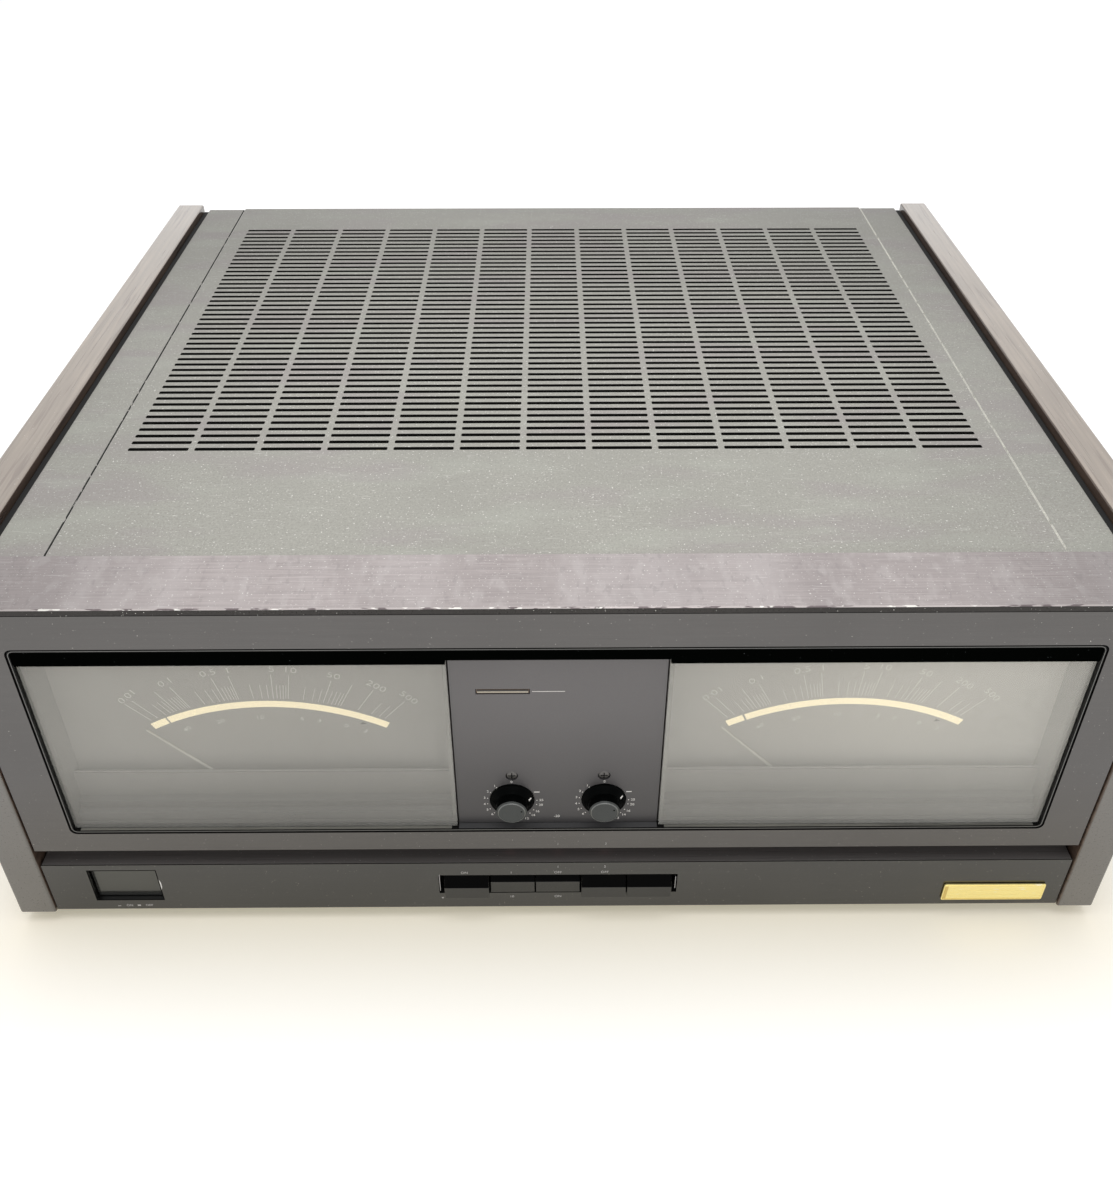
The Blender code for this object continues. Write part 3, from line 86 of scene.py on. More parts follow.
class Side(Enum):
    """Left or right as the viewer sees the front, with its sign along X."""

    LEFT = ("left", -1.0)
    RIGHT = ("right", 1.0)

    @property
    def word(self) -> str:
        """The side's name, as in the names of the solids."""
        return self.value[0]

    @property
    def sign(self) -> float:
        """-1 on the left and 1 on the right."""
        return self.value[1]


class Axis(Enum):
    """The axis that an outline is swept along, as the order of its two coordinates and the sweep."""

    X = (2, 0, 1)
    Y = (0, 2, 1)
    Z = (0, 1, 2)

    def place(self, first: float, second: float, level: float) -> Vector:
        """Puts a point of the outline at a level of the sweep."""
        given = (first, second, level)
        return Vector([given[index] for index in self.value])


class Graph:
    """The nodes of one material."""

    def __init__(self, tree: bpy.types.NodeTree) -> None:
        """Starts with an empty tree.

        Args:
            tree: The node tree to fill.
        """
        self.tree = tree
        tree.nodes.clear()

    def node(self, kind: str, inputs: dict | None = None, **settings: object) -> bpy.types.Node:
        """Adds one node.

        Args:
            kind: The node's type without its "ShaderNode".
            inputs: Values or output sockets by input name or index.
            settings: Properties of the node.

        Returns:
            The new node.
        """
        made = self.tree.nodes.new(f"ShaderNode{kind}")
        for key, value in settings.items():
            setattr(made, key, value)
        for key, value in (inputs or {}).items():
            if isinstance(value, bpy.types.NodeSocket):
                self.tree.links.new(value, made.inputs[key])
            else:
                made.inputs[key].default_value = value
        return made

    def noise(self, place: bpy.types.NodeSocket, size: Place, detail: float = 4.0) -> bpy.types.NodeSocket:
        """Adds noise of a real size.

        Args:
            place: Coordinates in metres.
            size: Size of the noise's features along each axis, in metres.
            detail: Octaves.

        Returns:
            The noise's value.
        """
        scale = tuple(1.0 / length for length in size)
        mapped = self.node("Mapping", {"Vector": place, "Scale": scale})
        inputs = {"Vector": mapped.outputs[0], "Scale": 1.0, "Detail": detail}
        return self.node("TexNoise", inputs).outputs[0]

    def ranged(self, value: bpy.types.NodeSocket, low: float, high: float, to_low: float,
               to_high: float) -> bpy.types.NodeSocket:
        """Maps one range of a value to another.

        Args:
            value: The value.
            low: Start of its range.
            high: End of its range.
            to_low: What low becomes.
            to_high: What high becomes.

        Returns:
            The mapped value.
        """
        inputs = {"Value": value, "From Min": low, "From Max": high, "To Min": to_low, "To Max": to_high}
        return self.node("MapRange", inputs).outputs[0]

    def mixed(self, share: bpy.types.NodeSocket, first: object, second: object) -> bpy.types.NodeSocket:
        """Mixes two colours.

        Args:
            share: How much of the second shows.
            first: A colour or a colour socket.
            second: A colour or a colour socket.

        Returns:
            The mixed colour.
        """
        def four(colour: object) -> object:
            """Adds an alpha of 1 to a plain colour."""
            return colour if isinstance(colour, bpy.types.NodeSocket) else (*colour, 1.0)

        inputs = {0: share, 6: four(first), 7: four(second)}
        return self.node("Mix", inputs, data_type="RGBA").outputs[2]

    def faded(self, colour: bpy.types.NodeSocket, place: bpy.types.NodeSocket,
              fade: "Fade") -> bpy.types.NodeSocket:
        """Darkens a colour along one axis as painted shade.

        Args:
            colour: The colour.
            place: Coordinates in metres.
            fade: Where and how much.

        Returns:
            The darkened colour.
        """
        value = self.node("SeparateXYZ", {0: place}).outputs[fade.axis]
        if fade.mirrored:
            value = self.node("Math", {0: value}, operation="ABSOLUTE").outputs[0]
        inputs = {"Value": value, "From Min": fade.start, "From Max": fade.end}
        share = self.node("MapRange", inputs, interpolation_type="SMOOTHSTEP").outputs[0]
        inputs = {0: share, 6: colour, 7: (fade.share, fade.share, fade.share, 1.0)}
        return self.node("Mix", inputs, data_type="RGBA", blend_type="MULTIPLY").outputs[2]


@dataclass(frozen=True)
class Fade:
    """A painted shade: a tone that goes from full at start to a share of it at end, along one axis."""

    axis: int
    start: float
    end: float
    share: float
    mirrored: bool = False


@dataclass(frozen=True)
class Marks:
    """Specks, scratches, smudges, painted reflection bands or painted glints of one kind, with their size
    along each axis.
    """

    colour: Colour
    size: Place
    level: float
    soft: float = 0.03
    strength: float = 1.0


@dataclass(frozen=True)
class Finish:
    """What a surface is made of and how it has aged, with any fades of painted shade and any glow, which is
    painted light except on the lamp lens.
    """

    name: str
    colour: Colour
    roughness: float = 0.45
    metallic: float = 0.0
    grain: Grain = Grain.EVEN
    grain_size: float = 0.6 * MM
    variation: float = 0.10
    cloud: float = 0.06
    cloud_size: float = 60.0 * MM
    bump: float = 0.15
    specular: float = 0.5
    coat: float = 0.0
    alpha: float = 1.0
    glow: float = 0.0
    coat_index: float = 1.5
    fades: tuple[Fade, ...] = ()
    marks: tuple[Marks, ...] = ()

    def material(self) -> bpy.types.Material:
        """Makes the material at its first use.

        Returns:
            The material.
        """
        made = bpy.data.materials.get(self.name)
        if made is not None:
            return made
        made = bpy.data.materials.new(self.name)
        made.use_nodes = True
        graph = Graph(made.node_tree)
        place = graph.node("TexCoord").outputs["Object"]
        size = tuple(self.grain_size * stretch for stretch in self.grain.value)
        grain = graph.noise(place, size)
        cloud = graph.noise(place, (self.cloud_size,) * 3, 3.0)
        dark = tuple(part * (1.0 - self.variation) for part in self.colour)
        light = tuple(part * (1.0 + self.variation) for part in self.colour)
        colour = graph.mixed(graph.ranged(grain, 0.3, 0.7, 0.0, 1.0), dark, light)
        shade = tuple(part * (1.0 - 2.0 * self.cloud) for part in self.colour)
        colour = graph.mixed(graph.ranged(cloud, 0.35, 0.65, 0.5, 0.0), colour, shade)
        for kind in self.marks:
            spots = graph.noise(place, kind.size, 2.0)
            share = graph.ranged(spots, kind.level, kind.level + kind.soft, 0.0, kind.strength)
            colour = graph.mixed(share, colour, kind.colour)
        for fade in self.fades:
            colour = graph.faded(colour, place, fade)
        rough = graph.ranged(grain, 0.25, 0.75, self.roughness * 0.85, min(1.0, self.roughness * 1.15))
        bump = graph.node("Bump", {"Strength": self.bump, "Distance": BUMP_DEPTH, "Height": grain}).outputs[0]
        inputs = {
            "Base Color": colour, "Roughness": rough, "Normal": bump, "Metallic": self.metallic,
            "Specular IOR Level": self.specular, "Coat Weight": self.coat, "Coat Roughness": COAT_ROUGHNESS,
            "Coat IOR": self.coat_index, "Alpha": self.alpha,
        }
        if self.glow:
            inputs["Emission Color"] = (*self.colour, 1.0)
            inputs["Emission Strength"] = self.glow
        shader = graph.node("BsdfPrincipled", inputs)
        graph.node("OutputMaterial", {"Surface": shader.outputs[0]})
        return made


def even(size: float) -> Place:
    """The same size along each axis."""
    return (size, size, size)


DUST = Marks((0.86, 0.85, 0.81), even(0.9 * MM), 0.665, 0.04, 0.9)
FEW_SPECKS = Marks((0.60, 0.58, 0.54), even(0.8 * MM), 0.73, 0.02, 0.7)
# The cover's fades darken it towards the sides and towards the rear: painted shade.
COVER_PAINT = Finish(
    "cover_paint", (0.400, 0.392, 0.352), 0.5, 0.1, grain_size=1.0 * MM, variation=0.16, cloud=0.06, bump=0.3,
    fades=(Fade(0, 0.09, 0.25, 0.84, True), Fade(1, -0.06, 0.22, 0.73)),
    marks=(Marks((0.365, 0.325, 0.325), (70.0 * MM, 24.0 * MM, 70.0 * MM), 0.50, 0.14, 0.5),
           Marks((0.45, 0.46, 0.405), (50.0 * MM, 18.0 * MM, 50.0 * MM), 0.55, 0.14, 0.4),
           Marks((0.25, 0.24, 0.215), even(0.8 * MM), 0.58, 0.08, 0.4),
           Marks((0.62, 0.61, 0.57), (11.0 * MM, 0.6 * MM, 9.0 * MM), 0.665, 0.05, 0.6),
           Marks((0.62, 0.61, 0.57), (0.6 * MM, 9.0 * MM, 9.0 * MM), 0.70, 0.04, 0.4), DUST))
# Near black for the slot walls: painted shade inside the slots.
SLOT_SHADE = Finish("slot_painted_shade", (0.010, 0.010, 0.009), 0.7, specular=0.1, variation=0.25, bump=0.05)
SEAM_WEAR = Finish("seam_wear", (0.66, 0.65, 0.60), 0.5, 0.2, grain_size=0.8 * MM, variation=0.2,
                   marks=(Marks((0.34, 0.33, 0.30), (1.5 * MM, 5.0 * MM, 5.0 * MM), 0.58, 0.06, 0.7),))
# Near black for the left seam's groove as painted shadow, with light dashes of wear.
SEAM_SHADOW_AND_WEAR = Finish("seam_shadow_and_wear", (0.03, 0.03, 0.028), 0.7, variation=0.2,
                   marks=(Marks((0.60, 0.58, 0.54), (1.0 * MM, 5.0 * MM, 5.0 * MM), 0.62, 0.04, 0.8),))
# Brushed trim: its fades darken it towards both ends as painted shade, and its first two marks are broad
# light and dark bands of painted reflection.
TRIM_METAL = Finish(
    "trim_metal", (0.440, 0.392, 0.386), 0.38, 0.5, Grain.ALONG_X, 0.45 * MM, 0.24, bump=0.35,
    fades=(Fade(0, 0.13, 0.24, 0.66, True), Fade(0, 0.223, 0.236, 0.66, True)),
    marks=(Marks((0.56, 0.515, 0.51), (26.0 * MM, 400.0 * MM, 400.0 * MM), 0.46, 0.22, 0.55),
           Marks((0.34, 0.305, 0.305), (34.0 * MM, 400.0 * MM, 400.0 * MM), 0.56, 0.16, 0.35),
           Marks((0.58, 0.54, 0.53), (5.0 * MM, 12.0 * MM, 12.0 * MM), 0.52, 0.16, 0.35),
           Marks((0.30, 0.27, 0.27), (3.0 * MM, 7.0 * MM, 7.0 * MM), 0.60, 0.08, 0.3),
           Marks((0.74, 0.70, 0.69), (12.0 * MM, 0.5 * MM, 3.0 * MM), 0.66, 0.05, 0.6), DUST))
# Lighter chamfers of the trim: wear and a painted highlight, with white bits as painted glints and a fade of
# painted shade towards the ends.
TRIM_EDGE_WEAR_AND_HIGHLIGHT = Finish("trim_edge_wear_and_highlight", (0.58, 0.53, 0.52), 0.3, 0.4, Grain.ALONG_X, 0.5 * MM, 0.2,
                   fades=(Fade(0, 0.16, 0.24, 0.7, True),),
                   marks=(Marks((0.10, 0.07, 0.08), (7.0 * MM, 1.5 * MM, 1.5 * MM), 0.52, 0.06, 0.8),
                          Marks((0.97, 0.95, 0.90), (6.0 * MM, 2.0 * MM, 2.0 * MM), 0.60, 0.04)))
# Near-black front face of the trim: a painted shadow line below the trim.
TRIM_FACE_SHADOW = Finish("trim_face_painted_shadow", (0.050, 0.047, 0.045), 0.3, 0.7, specular=0.2, variation=0.15,
                   marks=(Marks((0.80, 0.79, 0.74), even(0.8 * MM), 0.72, 0.02),))
PANEL_COAT = Finish("panel_coat", (0.126, 0.121, 0.118), 0.15, 0.9, Grain.ALONG_X, 0.3 * MM, 0.05, bump=0.05,
                    marks=(FEW_SPECKS,))
# A darker copy of the panel coat for the lower panel: painted shade.
LOWER_COAT_SHADED = Finish("lower_coat_painted_shade", (0.095, 0.095, 0.094), 0.15, 0.9, Grain.ALONG_X, 0.3 * MM, 0.05, bump=0.05,
                    marks=(FEW_SPECKS,))
LEDGE_COAT = Finish("ledge_coat", (0.125, 0.117, 0.113), 0.3, 0.1, Grain.ALONG_X, 0.4 * MM, 0.08, bump=0.03,
                    marks=(FEW_SPECKS,))
# The control plate's fade darkens it towards the bottom: painted shade.
CONTROL_COAT = Finish("control_coat", (0.150, 0.144, 0.147), 0.42, 0.25, grain_size=0.4 * MM, variation=0.06,
                      bump=0.08, fades=(Fade(2, 0.145, 0.062, 0.45),))
RIM_METAL = Finish("rim_metal", (0.004, 0.004, 0.004), 0.35, specular=0.12, variation=0.1, bump=0.03)
# Lighter line round the window's rim: a painted highlight.
RIM_HIGHLIGHT = Finish("rim_line", (0.20, 0.20, 0.19), 0.35, 0.4, Grain.ALONG_X, 0.3 * MM, 0.1)
# Light grey sills at the foot of the panes: a painted highlight, uneven with darker patches.
SILL_HIGHLIGHT = Finish("sill_highlight", (0.24, 0.235, 0.21), 0.35, 0.3, variation=0.1,
                    marks=(Marks((0.12, 0.12, 0.11), (60.0 * MM, 4.0 * MM, 4.0 * MM), 0.54, 0.08, 0.7),))
# Near black; the crosses of the screw heads and the frame round the power key use it as painted shade.
DEEP_BLACK = Finish("deep_black", (0.0015, 0.0015, 0.0015), 0.5, specular=0.02, variation=0.3, bump=0.05)
# Black strip across the top of the window: partly a real strip and partly a painted dark reflection.
HEADER_BLACK = Finish("header_black", (0.0012, 0.0016, 0.0013), 0.5, specular=0.0, variation=0.3, bump=0.02,
                      marks=(Marks((0.10, 0.11, 0.12), even(0.9 * MM), 0.735, 0.02),))
# The pale colour that shows through the glass's low alpha is a painted reflection of the floor; its fades
# darken it towards the bottom and the left as painted shade.
GLASS_PAINTED_REFLECTION = Finish("glass_painted_reflection", (0.92, 0.915, 0.865), 0.04, grain_size=4.0 * MM, variation=0.03, cloud=0.06,
                    cloud_size=70.0 * MM, bump=0.0, alpha=0.28,
                    fades=(Fade(2, 0.115, 0.065, 0.68), Fade(0, 0.20, -0.05, 0.72)),
                    marks=(Marks((1.0, 1.0, 0.97), even(0.9 * MM), 0.77, 0.02),))
# The dial plate's fades darken it towards the bottom and the left: painted shade.
DIAL_PLATE = Finish("dial_plate", (0.64, 0.625, 0.59), 0.6, grain_size=0.6 * MM, variation=0.06,
                    fades=(Fade(2, 0.140, 0.088, 0.84), Fade(0, 0.19, -0.05, 0.70)))
# The band and print of the dial glow, which is painted light.
DIAL_BAND = Finish("dial_band", (0.98, 0.85, 0.54), 0.5, variation=0.03, glow=0.85)
DIAL_PRINT = Finish("dial_print", (0.92, 0.91, 0.86), 0.6, variation=0.05, glow=0.10)
DIAL_FAINT = Finish("dial_faint", (0.88, 0.87, 0.82), 0.6, variation=0.05, glow=0.04)
DIAL_MARK = Finish("dial_mark", (0.03, 0.03, 0.028), 0.6, variation=0.1)
NEEDLE_PAINT = Finish("needle_paint", (0.80, 0.78, 0.70), 0.5, variation=0.06)
# The housing's fade darkens it towards the bottom: painted shade.
HOUSING_BLACK = Finish("housing_black", (0.26, 0.255, 0.24), 0.6, variation=0.08,
                       fades=(Fade(2, 0.090, 0.064, 0.55),))
# Shaded and lit copies of one finish for the shelf's risers and treads: painted shade and painted light.
SHELF_SHADED = Finish("shelf_painted_shade", (0.10, 0.10, 0.095), 0.5, variation=0.08)
SHELF_LIT = Finish("shelf_painted_light", (0.20, 0.20, 0.19), 0.5, variation=0.08)
COVER_LIP = Finish("cover_lip", (0.42, 0.42, 0.40), 0.5, variation=0.08)
PLATE_SILL = Finish("plate_sill", (0.070, 0.070, 0.072), 0.4, variation=0.08)
PLATED_STEEL = Finish("plated_steel", (0.50, 0.49, 0.45), 0.38, 0.9, grain_size=1.5 * MM, variation=0.08,
                      cloud=0.12,
                      marks=(Marks((0.66, 0.65, 0.60), (0.7 * MM, 0.7 * MM, 12.0 * MM), 0.73, 0.03, 0.6),
                             Marks((0.34, 0.33, 0.30), even(3.0 * MM), 0.66, 0.08, 0.5)))
INNER_BLACK = Finish("inner_black", (0.020, 0.020, 0.020), 0.7, variation=0.2, specular=0.2)
GLOSSY_WOOD = Finish("glossy_wood", (0.100, 0.066, 0.048), 0.3, grain=Grain.WOOD, grain_size=1.6 * MM,
                     variation=0.40, cloud=0.18, cloud_size=90.0 * MM, bump=0.2, coat=0.6, coat_index=1.5,
                     marks=(Marks((0.045, 0.030, 0.024), (1.5 * MM, 60.0 * MM, 3.0 * MM), 0.58, 0.06, 0.6),
                            Marks((0.45, 0.42, 0.38), even(0.8 * MM), 0.755, 0.02)))
# A much lighter copy of the wood for the cheeks' tops: painted sheen, with grain streaks and dust.
CHEEK_TOP_SHEEN = Finish("cheek_top_painted_sheen", (0.335, 0.275, 0.222), 0.3, grain=Grain.WOOD, grain_size=1.6 * MM,
                       variation=0.20, cloud=0.12, cloud_size=70.0 * MM, bump=0.15, coat=0.9, coat_index=1.8,
                       marks=(Marks((0.15, 0.105, 0.085), (2.0 * MM, 45.0 * MM, 3.0 * MM), 0.57, 0.08, 0.45),
                              Marks((0.70, 0.66, 0.60), even(0.8 * MM), 0.73, 0.02)))
# The cheeks' front ends, with a fade that darkens them towards the bottom as painted shade.
LACQUERED_END = Finish("lacquered_end", (0.195, 0.183, 0.168), 0.3, grain_size=0.8 * MM, variation=0.10,
                       cloud=0.08, bump=0.12, coat=0.5, fades=(Fade(2, 0.15, 0.02, 0.66),))
MOULDED_BLACK = Finish("moulded_black", (0.02, 0.02, 0.021), 0.5, variation=0.2, bump=0.3,
                       marks=(Marks((0.08, 0.08, 0.08), even(1.2 * MM), 0.70, 0.05, 0.5),))
SMOKED_PLASTIC = Finish("smoked_plastic", (0.060, 0.036, 0.036), 0.15, variation=0.15, bump=0.05)
LAMP_LENS = Finish("lamp_lens", (0.34, 0.09, 0.08), 0.15, variation=0.15, bump=0.05, coat=0.5, glow=0.03)
STATUS_FRAME = Finish("status_frame", (0.14, 0.085, 0.05), 0.4, variation=0.1, bump=0.05)
STATUS_DARK = Finish("status_dark", (0.03, 0.024, 0.02), 0.3, variation=0.1, bump=0.05)
STATUS_CREAM = Finish("status_cream", (0.50, 0.46, 0.38), 0.35, variation=0.1, bump=0.05)
KNOB_BODY = Finish("knob_body", (0.0012, 0.0015, 0.0015), 0.3, specular=0.02, variation=0.2, bump=0.05)
KNOB_CAP = Finish("knob_cap_metal", (0.052, 0.056, 0.055), 0.3, 0.6, grain_size=0.25 * MM, variation=0.08)
KNOB_RIM = Finish("knob_rim", (0.16, 0.165, 0.16), 0.3, 0.6, variation=0.08)
KEY_FACE = Finish("key_face", (0.066, 0.066, 0.064), 0.22, 0.8, variation=0.08, bump=0.1)
POWER_FACE = Finish("power_face", (0.105, 0.107, 0.103), 0.2, 0.8, variation=0.06, bump=0.08)
KEY_GLOSS = Finish("key_gloss", (0.0015, 0.0015, 0.0015), 0.35, specular=0.02, variation=0.2, bump=0.05)
# White print with a slight glow of painted light.
WHITE_PRINT = Finish("white_print", (0.82, 0.81, 0.78), 0.55, variation=0.08, glow=0.05)
GREY_PRINT = Finish("grey_print", (0.50, 0.49, 0.48), 0.55, variation=0.1)
GOLD_FOIL = Finish("gold_foil", (1.0, 0.86, 0.37), 0.28, 0.9, Grain.ALONG_X, 0.35 * MM, 0.06, cloud=0.03,
                   marks=(Marks((1.0, 0.96, 0.80), (6.0 * MM, 1.0 * MM, 1.0 * MM), 0.66, 0.05, 0.7),))
# Darker gold for the lower and left strips of the plate's raised border: painted shade.
GOLD_SHADED = Finish("gold_painted_shade", (0.72, 0.55, 0.20), 0.35, 0.9, variation=0.1)
SCREW_STEEL = Finish("screw_steel", (0.12, 0.115, 0.11), 0.35, 0.7, variation=0.15)
BRIGHT_STEEL = Finish("bright_steel", (0.62, 0.61, 0.59), 0.3, 0.95, grain_size=0.5 * MM, variation=0.06)
SINK_BLACK = Finish("sink_black", (0.028, 0.028, 0.030), 0.5, 0.3, Grain.ALONG_Z, 0.4 * MM, 0.15)
BOARD_RESIN = Finish("board_resin", (0.045, 0.10, 0.05), 0.45, variation=0.2, cloud=0.15, cloud_size=9.0 * MM)
CAN_SLEEVE = Finish("can_sleeve_film", (0.02, 0.022, 0.05), 0.3, variation=0.12)
CAN_BLACK = Finish("can_black", (0.03, 0.03, 0.032), 0.35, variation=0.15, cloud=0.1)
COPPER = Finish("copper_wire", (0.72, 0.36, 0.14), 0.35, 0.8, variation=0.2)
# Brass pins that glow as painted glints.
BRASS_GLINT = Finish("brass_pin_painted_glint", (0.95, 0.72, 0.30), 0.3, 0.6, variation=0.1, glow=0.25)
RUBBER = Finish("foot_rubber", (0.025, 0.025, 0.025), 0.8, variation=0.25, bump=0.5)
RED_CAP = Finish("red_cap", (0.35, 0.02, 0.018), 0.35, variation=0.1)
WHITE_CAP = Finish("white_cap", (0.70, 0.69, 0.66), 0.4, variation=0.05)


class Solid:
    """Closed shapes that make up one piece."""

    def __init__(self) -> None:
        """Starts with nothing in it."""
        self.bm = bmesh.new()
        self.finishes: list[Finish] = []

    def slot_of(self, finish: Finish) -> int:
        """Gives the finish's place in the piece's list of materials.

        Args:
            finish: The finish.

        Returns:
            Its index.
        """
        if finish not in self.finishes:
            self.finishes.append(finish)
        return self.finishes.index(finish)

    def paint(self, faces: list[bmesh.types.BMFace], finish: Finish) -> None:
        """Gives faces a finish.

        Args:
            faces: The faces.
            finish: Their finish.
        """
        index = self.slot_of(finish)
        for face in faces:
            face.material_index = index

    def face(self, corners: list[bmesh.types.BMVert], finish: Finish) -> bmesh.types.BMFace:
        """Adds one face.

        Args:
            corners: Its vertices.
            finish: Its finish.

        Returns:
            The face.
        """
        made = self.bm.faces.new(corners)
        made.material_index = self.slot_of(finish)
        return made

    def ring(self, points: list[Place]) -> list[bmesh.types.BMVert]:
        """Adds the vertices of one ring.

        Args:
            points: Its points in order.

        Returns:
            The vertices.
        """
        return [self.bm.verts.new(point) for point in points]

    def wall(self, first: list[bmesh.types.BMVert], second: list[bmesh.types.BMVert], finish: Finish,
             bands: Bands | None = None) -> list[bmesh.types.BMFace]:
        """Joins two rings with a wall.

        Args:
            first: One ring.
            second: The other, with as many vertices.
            finish: The wall's finish.
            bands: Other finishes for single faces of it.

        Returns:
            The faces.
        """
        pairs = list(zip(first, second))
        return [self.face([a, c, d, b], (bands or {}).get(number, finish))
                for number, ((a, b), (c, d)) in enumerate(zip(pairs, pairs[1:] + pairs[:1]))]

    def outward(self, faces: list[bmesh.types.BMFace] | None = None) -> None:
        """Turns faces outwards, and all of them where none are named."""
        bmesh.ops.recalc_face_normals(self.bm, faces=self.bm.faces if faces is None else faces)

    def prism(self, outline: list[Flat], axis: Axis, start: float, end: float, finish: Finish,
              move: Matrix | None = None, bands: Bands | None = None) -> None:
        """Adds a closed outline swept along an axis.

        Args:
            outline: (y, z) pairs for axis X, (x, z) pairs for Y and (x, y) pairs for Z.
            axis: The axis.
            start: Where the sweep starts.
            end: Where it ends.
            finish: Its finish.
            move: Transform of the whole shape.
            bands: Other finishes for single sides.
        """
        move = move or Matrix.Identity(4)
        first, second = [self.ring([move @ axis.place(a, b, level) for a, b in outline])
                         for level in (start, end)]
        faces = [self.face(first, finish), self.face(second, finish)]
        self.outward(faces + self.wall(first, second, finish, bands))

    def block(self, low: Place, high: Place, finish: Finish) -> None:
        """Adds a block between two corners.

        Args:
            low: Lowest corner.
            high: Highest corner.
            finish: Its finish.
        """
        self.prism(rectangle(low[0], high[0], low[2], high[2]), Axis.Y, low[1], high[1], finish)

    def cross(self, reach: float, half: float, bottom: float, top: float, move: Matrix) -> None:
        """Adds the cross recess of a screw's head as near-black bars, painted shade for the hollow.

        Args:
            reach: Half the length of its bars.
            half: Half their width.
            bottom: Where it starts above the surface.
            top: Where it ends.
            move: The screw's place, with Z out of the surface.
        """
        for turn in (0.0, 90.0):
            bar = move @ Matrix.Rotation(math.radians(turn), 4, "Z")
            self.prism(rectangle(-reach, reach, -half, half), Axis.Z, bottom, top, DEEP_BLACK, bar)

    def turned(self, profile: list[Flat], move: Matrix, segments: int, finish: Finish,
               bands: Bands | None = None, ripple: tuple[int, float] | None = None) -> None:
        """Adds a profile turned around Z, closed where it meets the axis.

        Args:
            profile: (radius, height) points from one end of the axis to the other.
            move: Where the turned shape goes.
            segments: Steps around.
            finish: Its finish.
            bands: Other finishes for single steps of the profile.
            ripple: Number and depth of flutes around the shape.
        """
        rings = []
        for radius, height in profile:
            if radius <= 0.0:
                rings.append([self.bm.verts.new(move @ Vector((0.0, 0.0, height)))])
                continue
            ring = []
            for step in range(segments):
                turn = math.tau * step / segments
                reach = radius
                if ripple and radius > 0.6 * max(r for r, _ in profile):
                    reach -= ripple[1] * (0.5 + 0.5 * math.cos(ripple[0] * turn))
                ring.append(self.bm.verts.new(
                    move @ Vector((reach * math.cos(turn), reach * math.sin(turn), height))))
            rings.append(ring)
        faces = []
        for number, (first, second) in enumerate(zip(rings, rings[1:])):
            look = (bands or {}).get(number, finish)
            for step in range(segments):
                after = (step + 1) % segments
                if len(first) == 1 and len(second) == 1:
                    continue
                if len(first) == 1:
                    corners = [first[0], second[step], second[after]]
                elif len(second) == 1:
                    corners = [first[step], second[0], first[after]]
                else:
                    corners = [first[step], second[step], second[after], first[after]]
                faces.append(self.face(corners, look))
        self.outward(faces)

    def words(self, text: str, size: float, move: Matrix, finish: Finish, depth: float = 0.04 * MM,
              weight: float = 0.0) -> None:
        """Adds a plain number or mark as thin raised print.

        Args:
            text: What it says.
            size: Height of the type.
            move: Where its middle goes; it reads along X and stands up along Y.
            finish: Its finish.
            depth: Thickness.
            weight: What is added to each side of a stroke.
        """
        curve = bpy.data.curves.new("print", "FONT")
        curve.body, curve.size, curve.extrude, curve.offset = text, size, depth / 2, weight
        curve.align_x, curve.align_y = "CENTER", "CENTER"
        curve.resolution_u = 3
        helper = bpy.data.objects.new("print", curve)
        mesh = bpy.data.meshes.new_from_object(helper)
        mesh.transform(move)
        before = len(self.bm.faces)
        self.bm.from_mesh(mesh)
        self.bm.faces.ensure_lookup_table()
        self.paint(self.bm.faces[before:], finish)
        bpy.data.objects.remove(helper)
        bpy.data.curves.remove(curve)
        bpy.data.meshes.remove(mesh)

    def made(self, name: str, body: str, slot: str, stands_for: tuple[str, ...] = (), bevel: float = 0.0,
             segments: int = 2) -> bpy.types.Object:
        """Turns what was gathered into a piece that rides on a body.

        Args:
            name: The piece's name.
            body: The body that it moves with.
            slot: The record's material slot; not used.
            stands_for: The solids that it replaces.
            bevel: Width of its rounded edges.
            segments: Steps across a rounded edge.

        Returns:
            The piece.
        """
        mesh = bpy.data.meshes.new(name)
        self.bm.to_mesh(mesh)
        self.bm.free()
        for finish in self.finishes:
            mesh.materials.append(finish.material())
        piece = bpy.data.objects.new(name, mesh)
        bpy.context.scene.collection.objects.link(piece)
        rounded(piece, bevel, segments)
        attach(piece, body)
        if stands_for:
            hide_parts(*stands_for)
        LOG.info("%s: %d faces, rides on %s", name, len(mesh.polygons), body)
        return piece


def rounded(piece: bpy.types.Object, width: float, segments: int = 2) -> None:
    """Shades a piece smoothly and rounds its sharp edges.

    Args:
        piece: The piece.
        width: Width of the rounding, or 0 for crisp edges.
        segments: Steps across the rounding.
    """
    piece.data.shade_smooth()
    if width:
        bevel = piece.modifiers.new("rounded_edges", "BEVEL")
        bevel.width, bevel.segments = width, segments
        bevel.limit_method, bevel.angle_limit = "ANGLE", ROUNDED_ANGLE
        bevel.harden_normals = True
    else:
        piece.data.set_sharp_from_angle(angle=SMOOTH_ANGLE)


def dressed(node: str, finish: Finish, width: float = 0.0) -> None:
    """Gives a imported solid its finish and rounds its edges.

    Args:
        node: The solid's name.
        finish: Its finish.
        width: Width of the rounding.
    """
    solid = frame["nodes"][node]
    for slot in solid.material_slots:
        slot.material = finish.material()
    if width:
        bevel = solid.modifiers.new("rounded_edges", "BEVEL")
        bevel.width, bevel.segments = width, 2
        bevel.limit_method, bevel.angle_limit = "ANGLE", DRESSED_ANGLE
    LOG.info("%s: dressed as %s", node, finish.name)


def centre_of(node: str) -> Place:
    """Finds the middle of a solid's box."""
    low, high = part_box(node)
    return tuple((a + b) / 2 for a, b in zip(low, high))


def rectangle(left: float, right: float, bottom: float, top: float) -> list[Flat]:
    """A rectangle's corners, anticlockwise from the lowest."""
    return [(left, bottom), (right, bottom), (right, top), (left, top)]


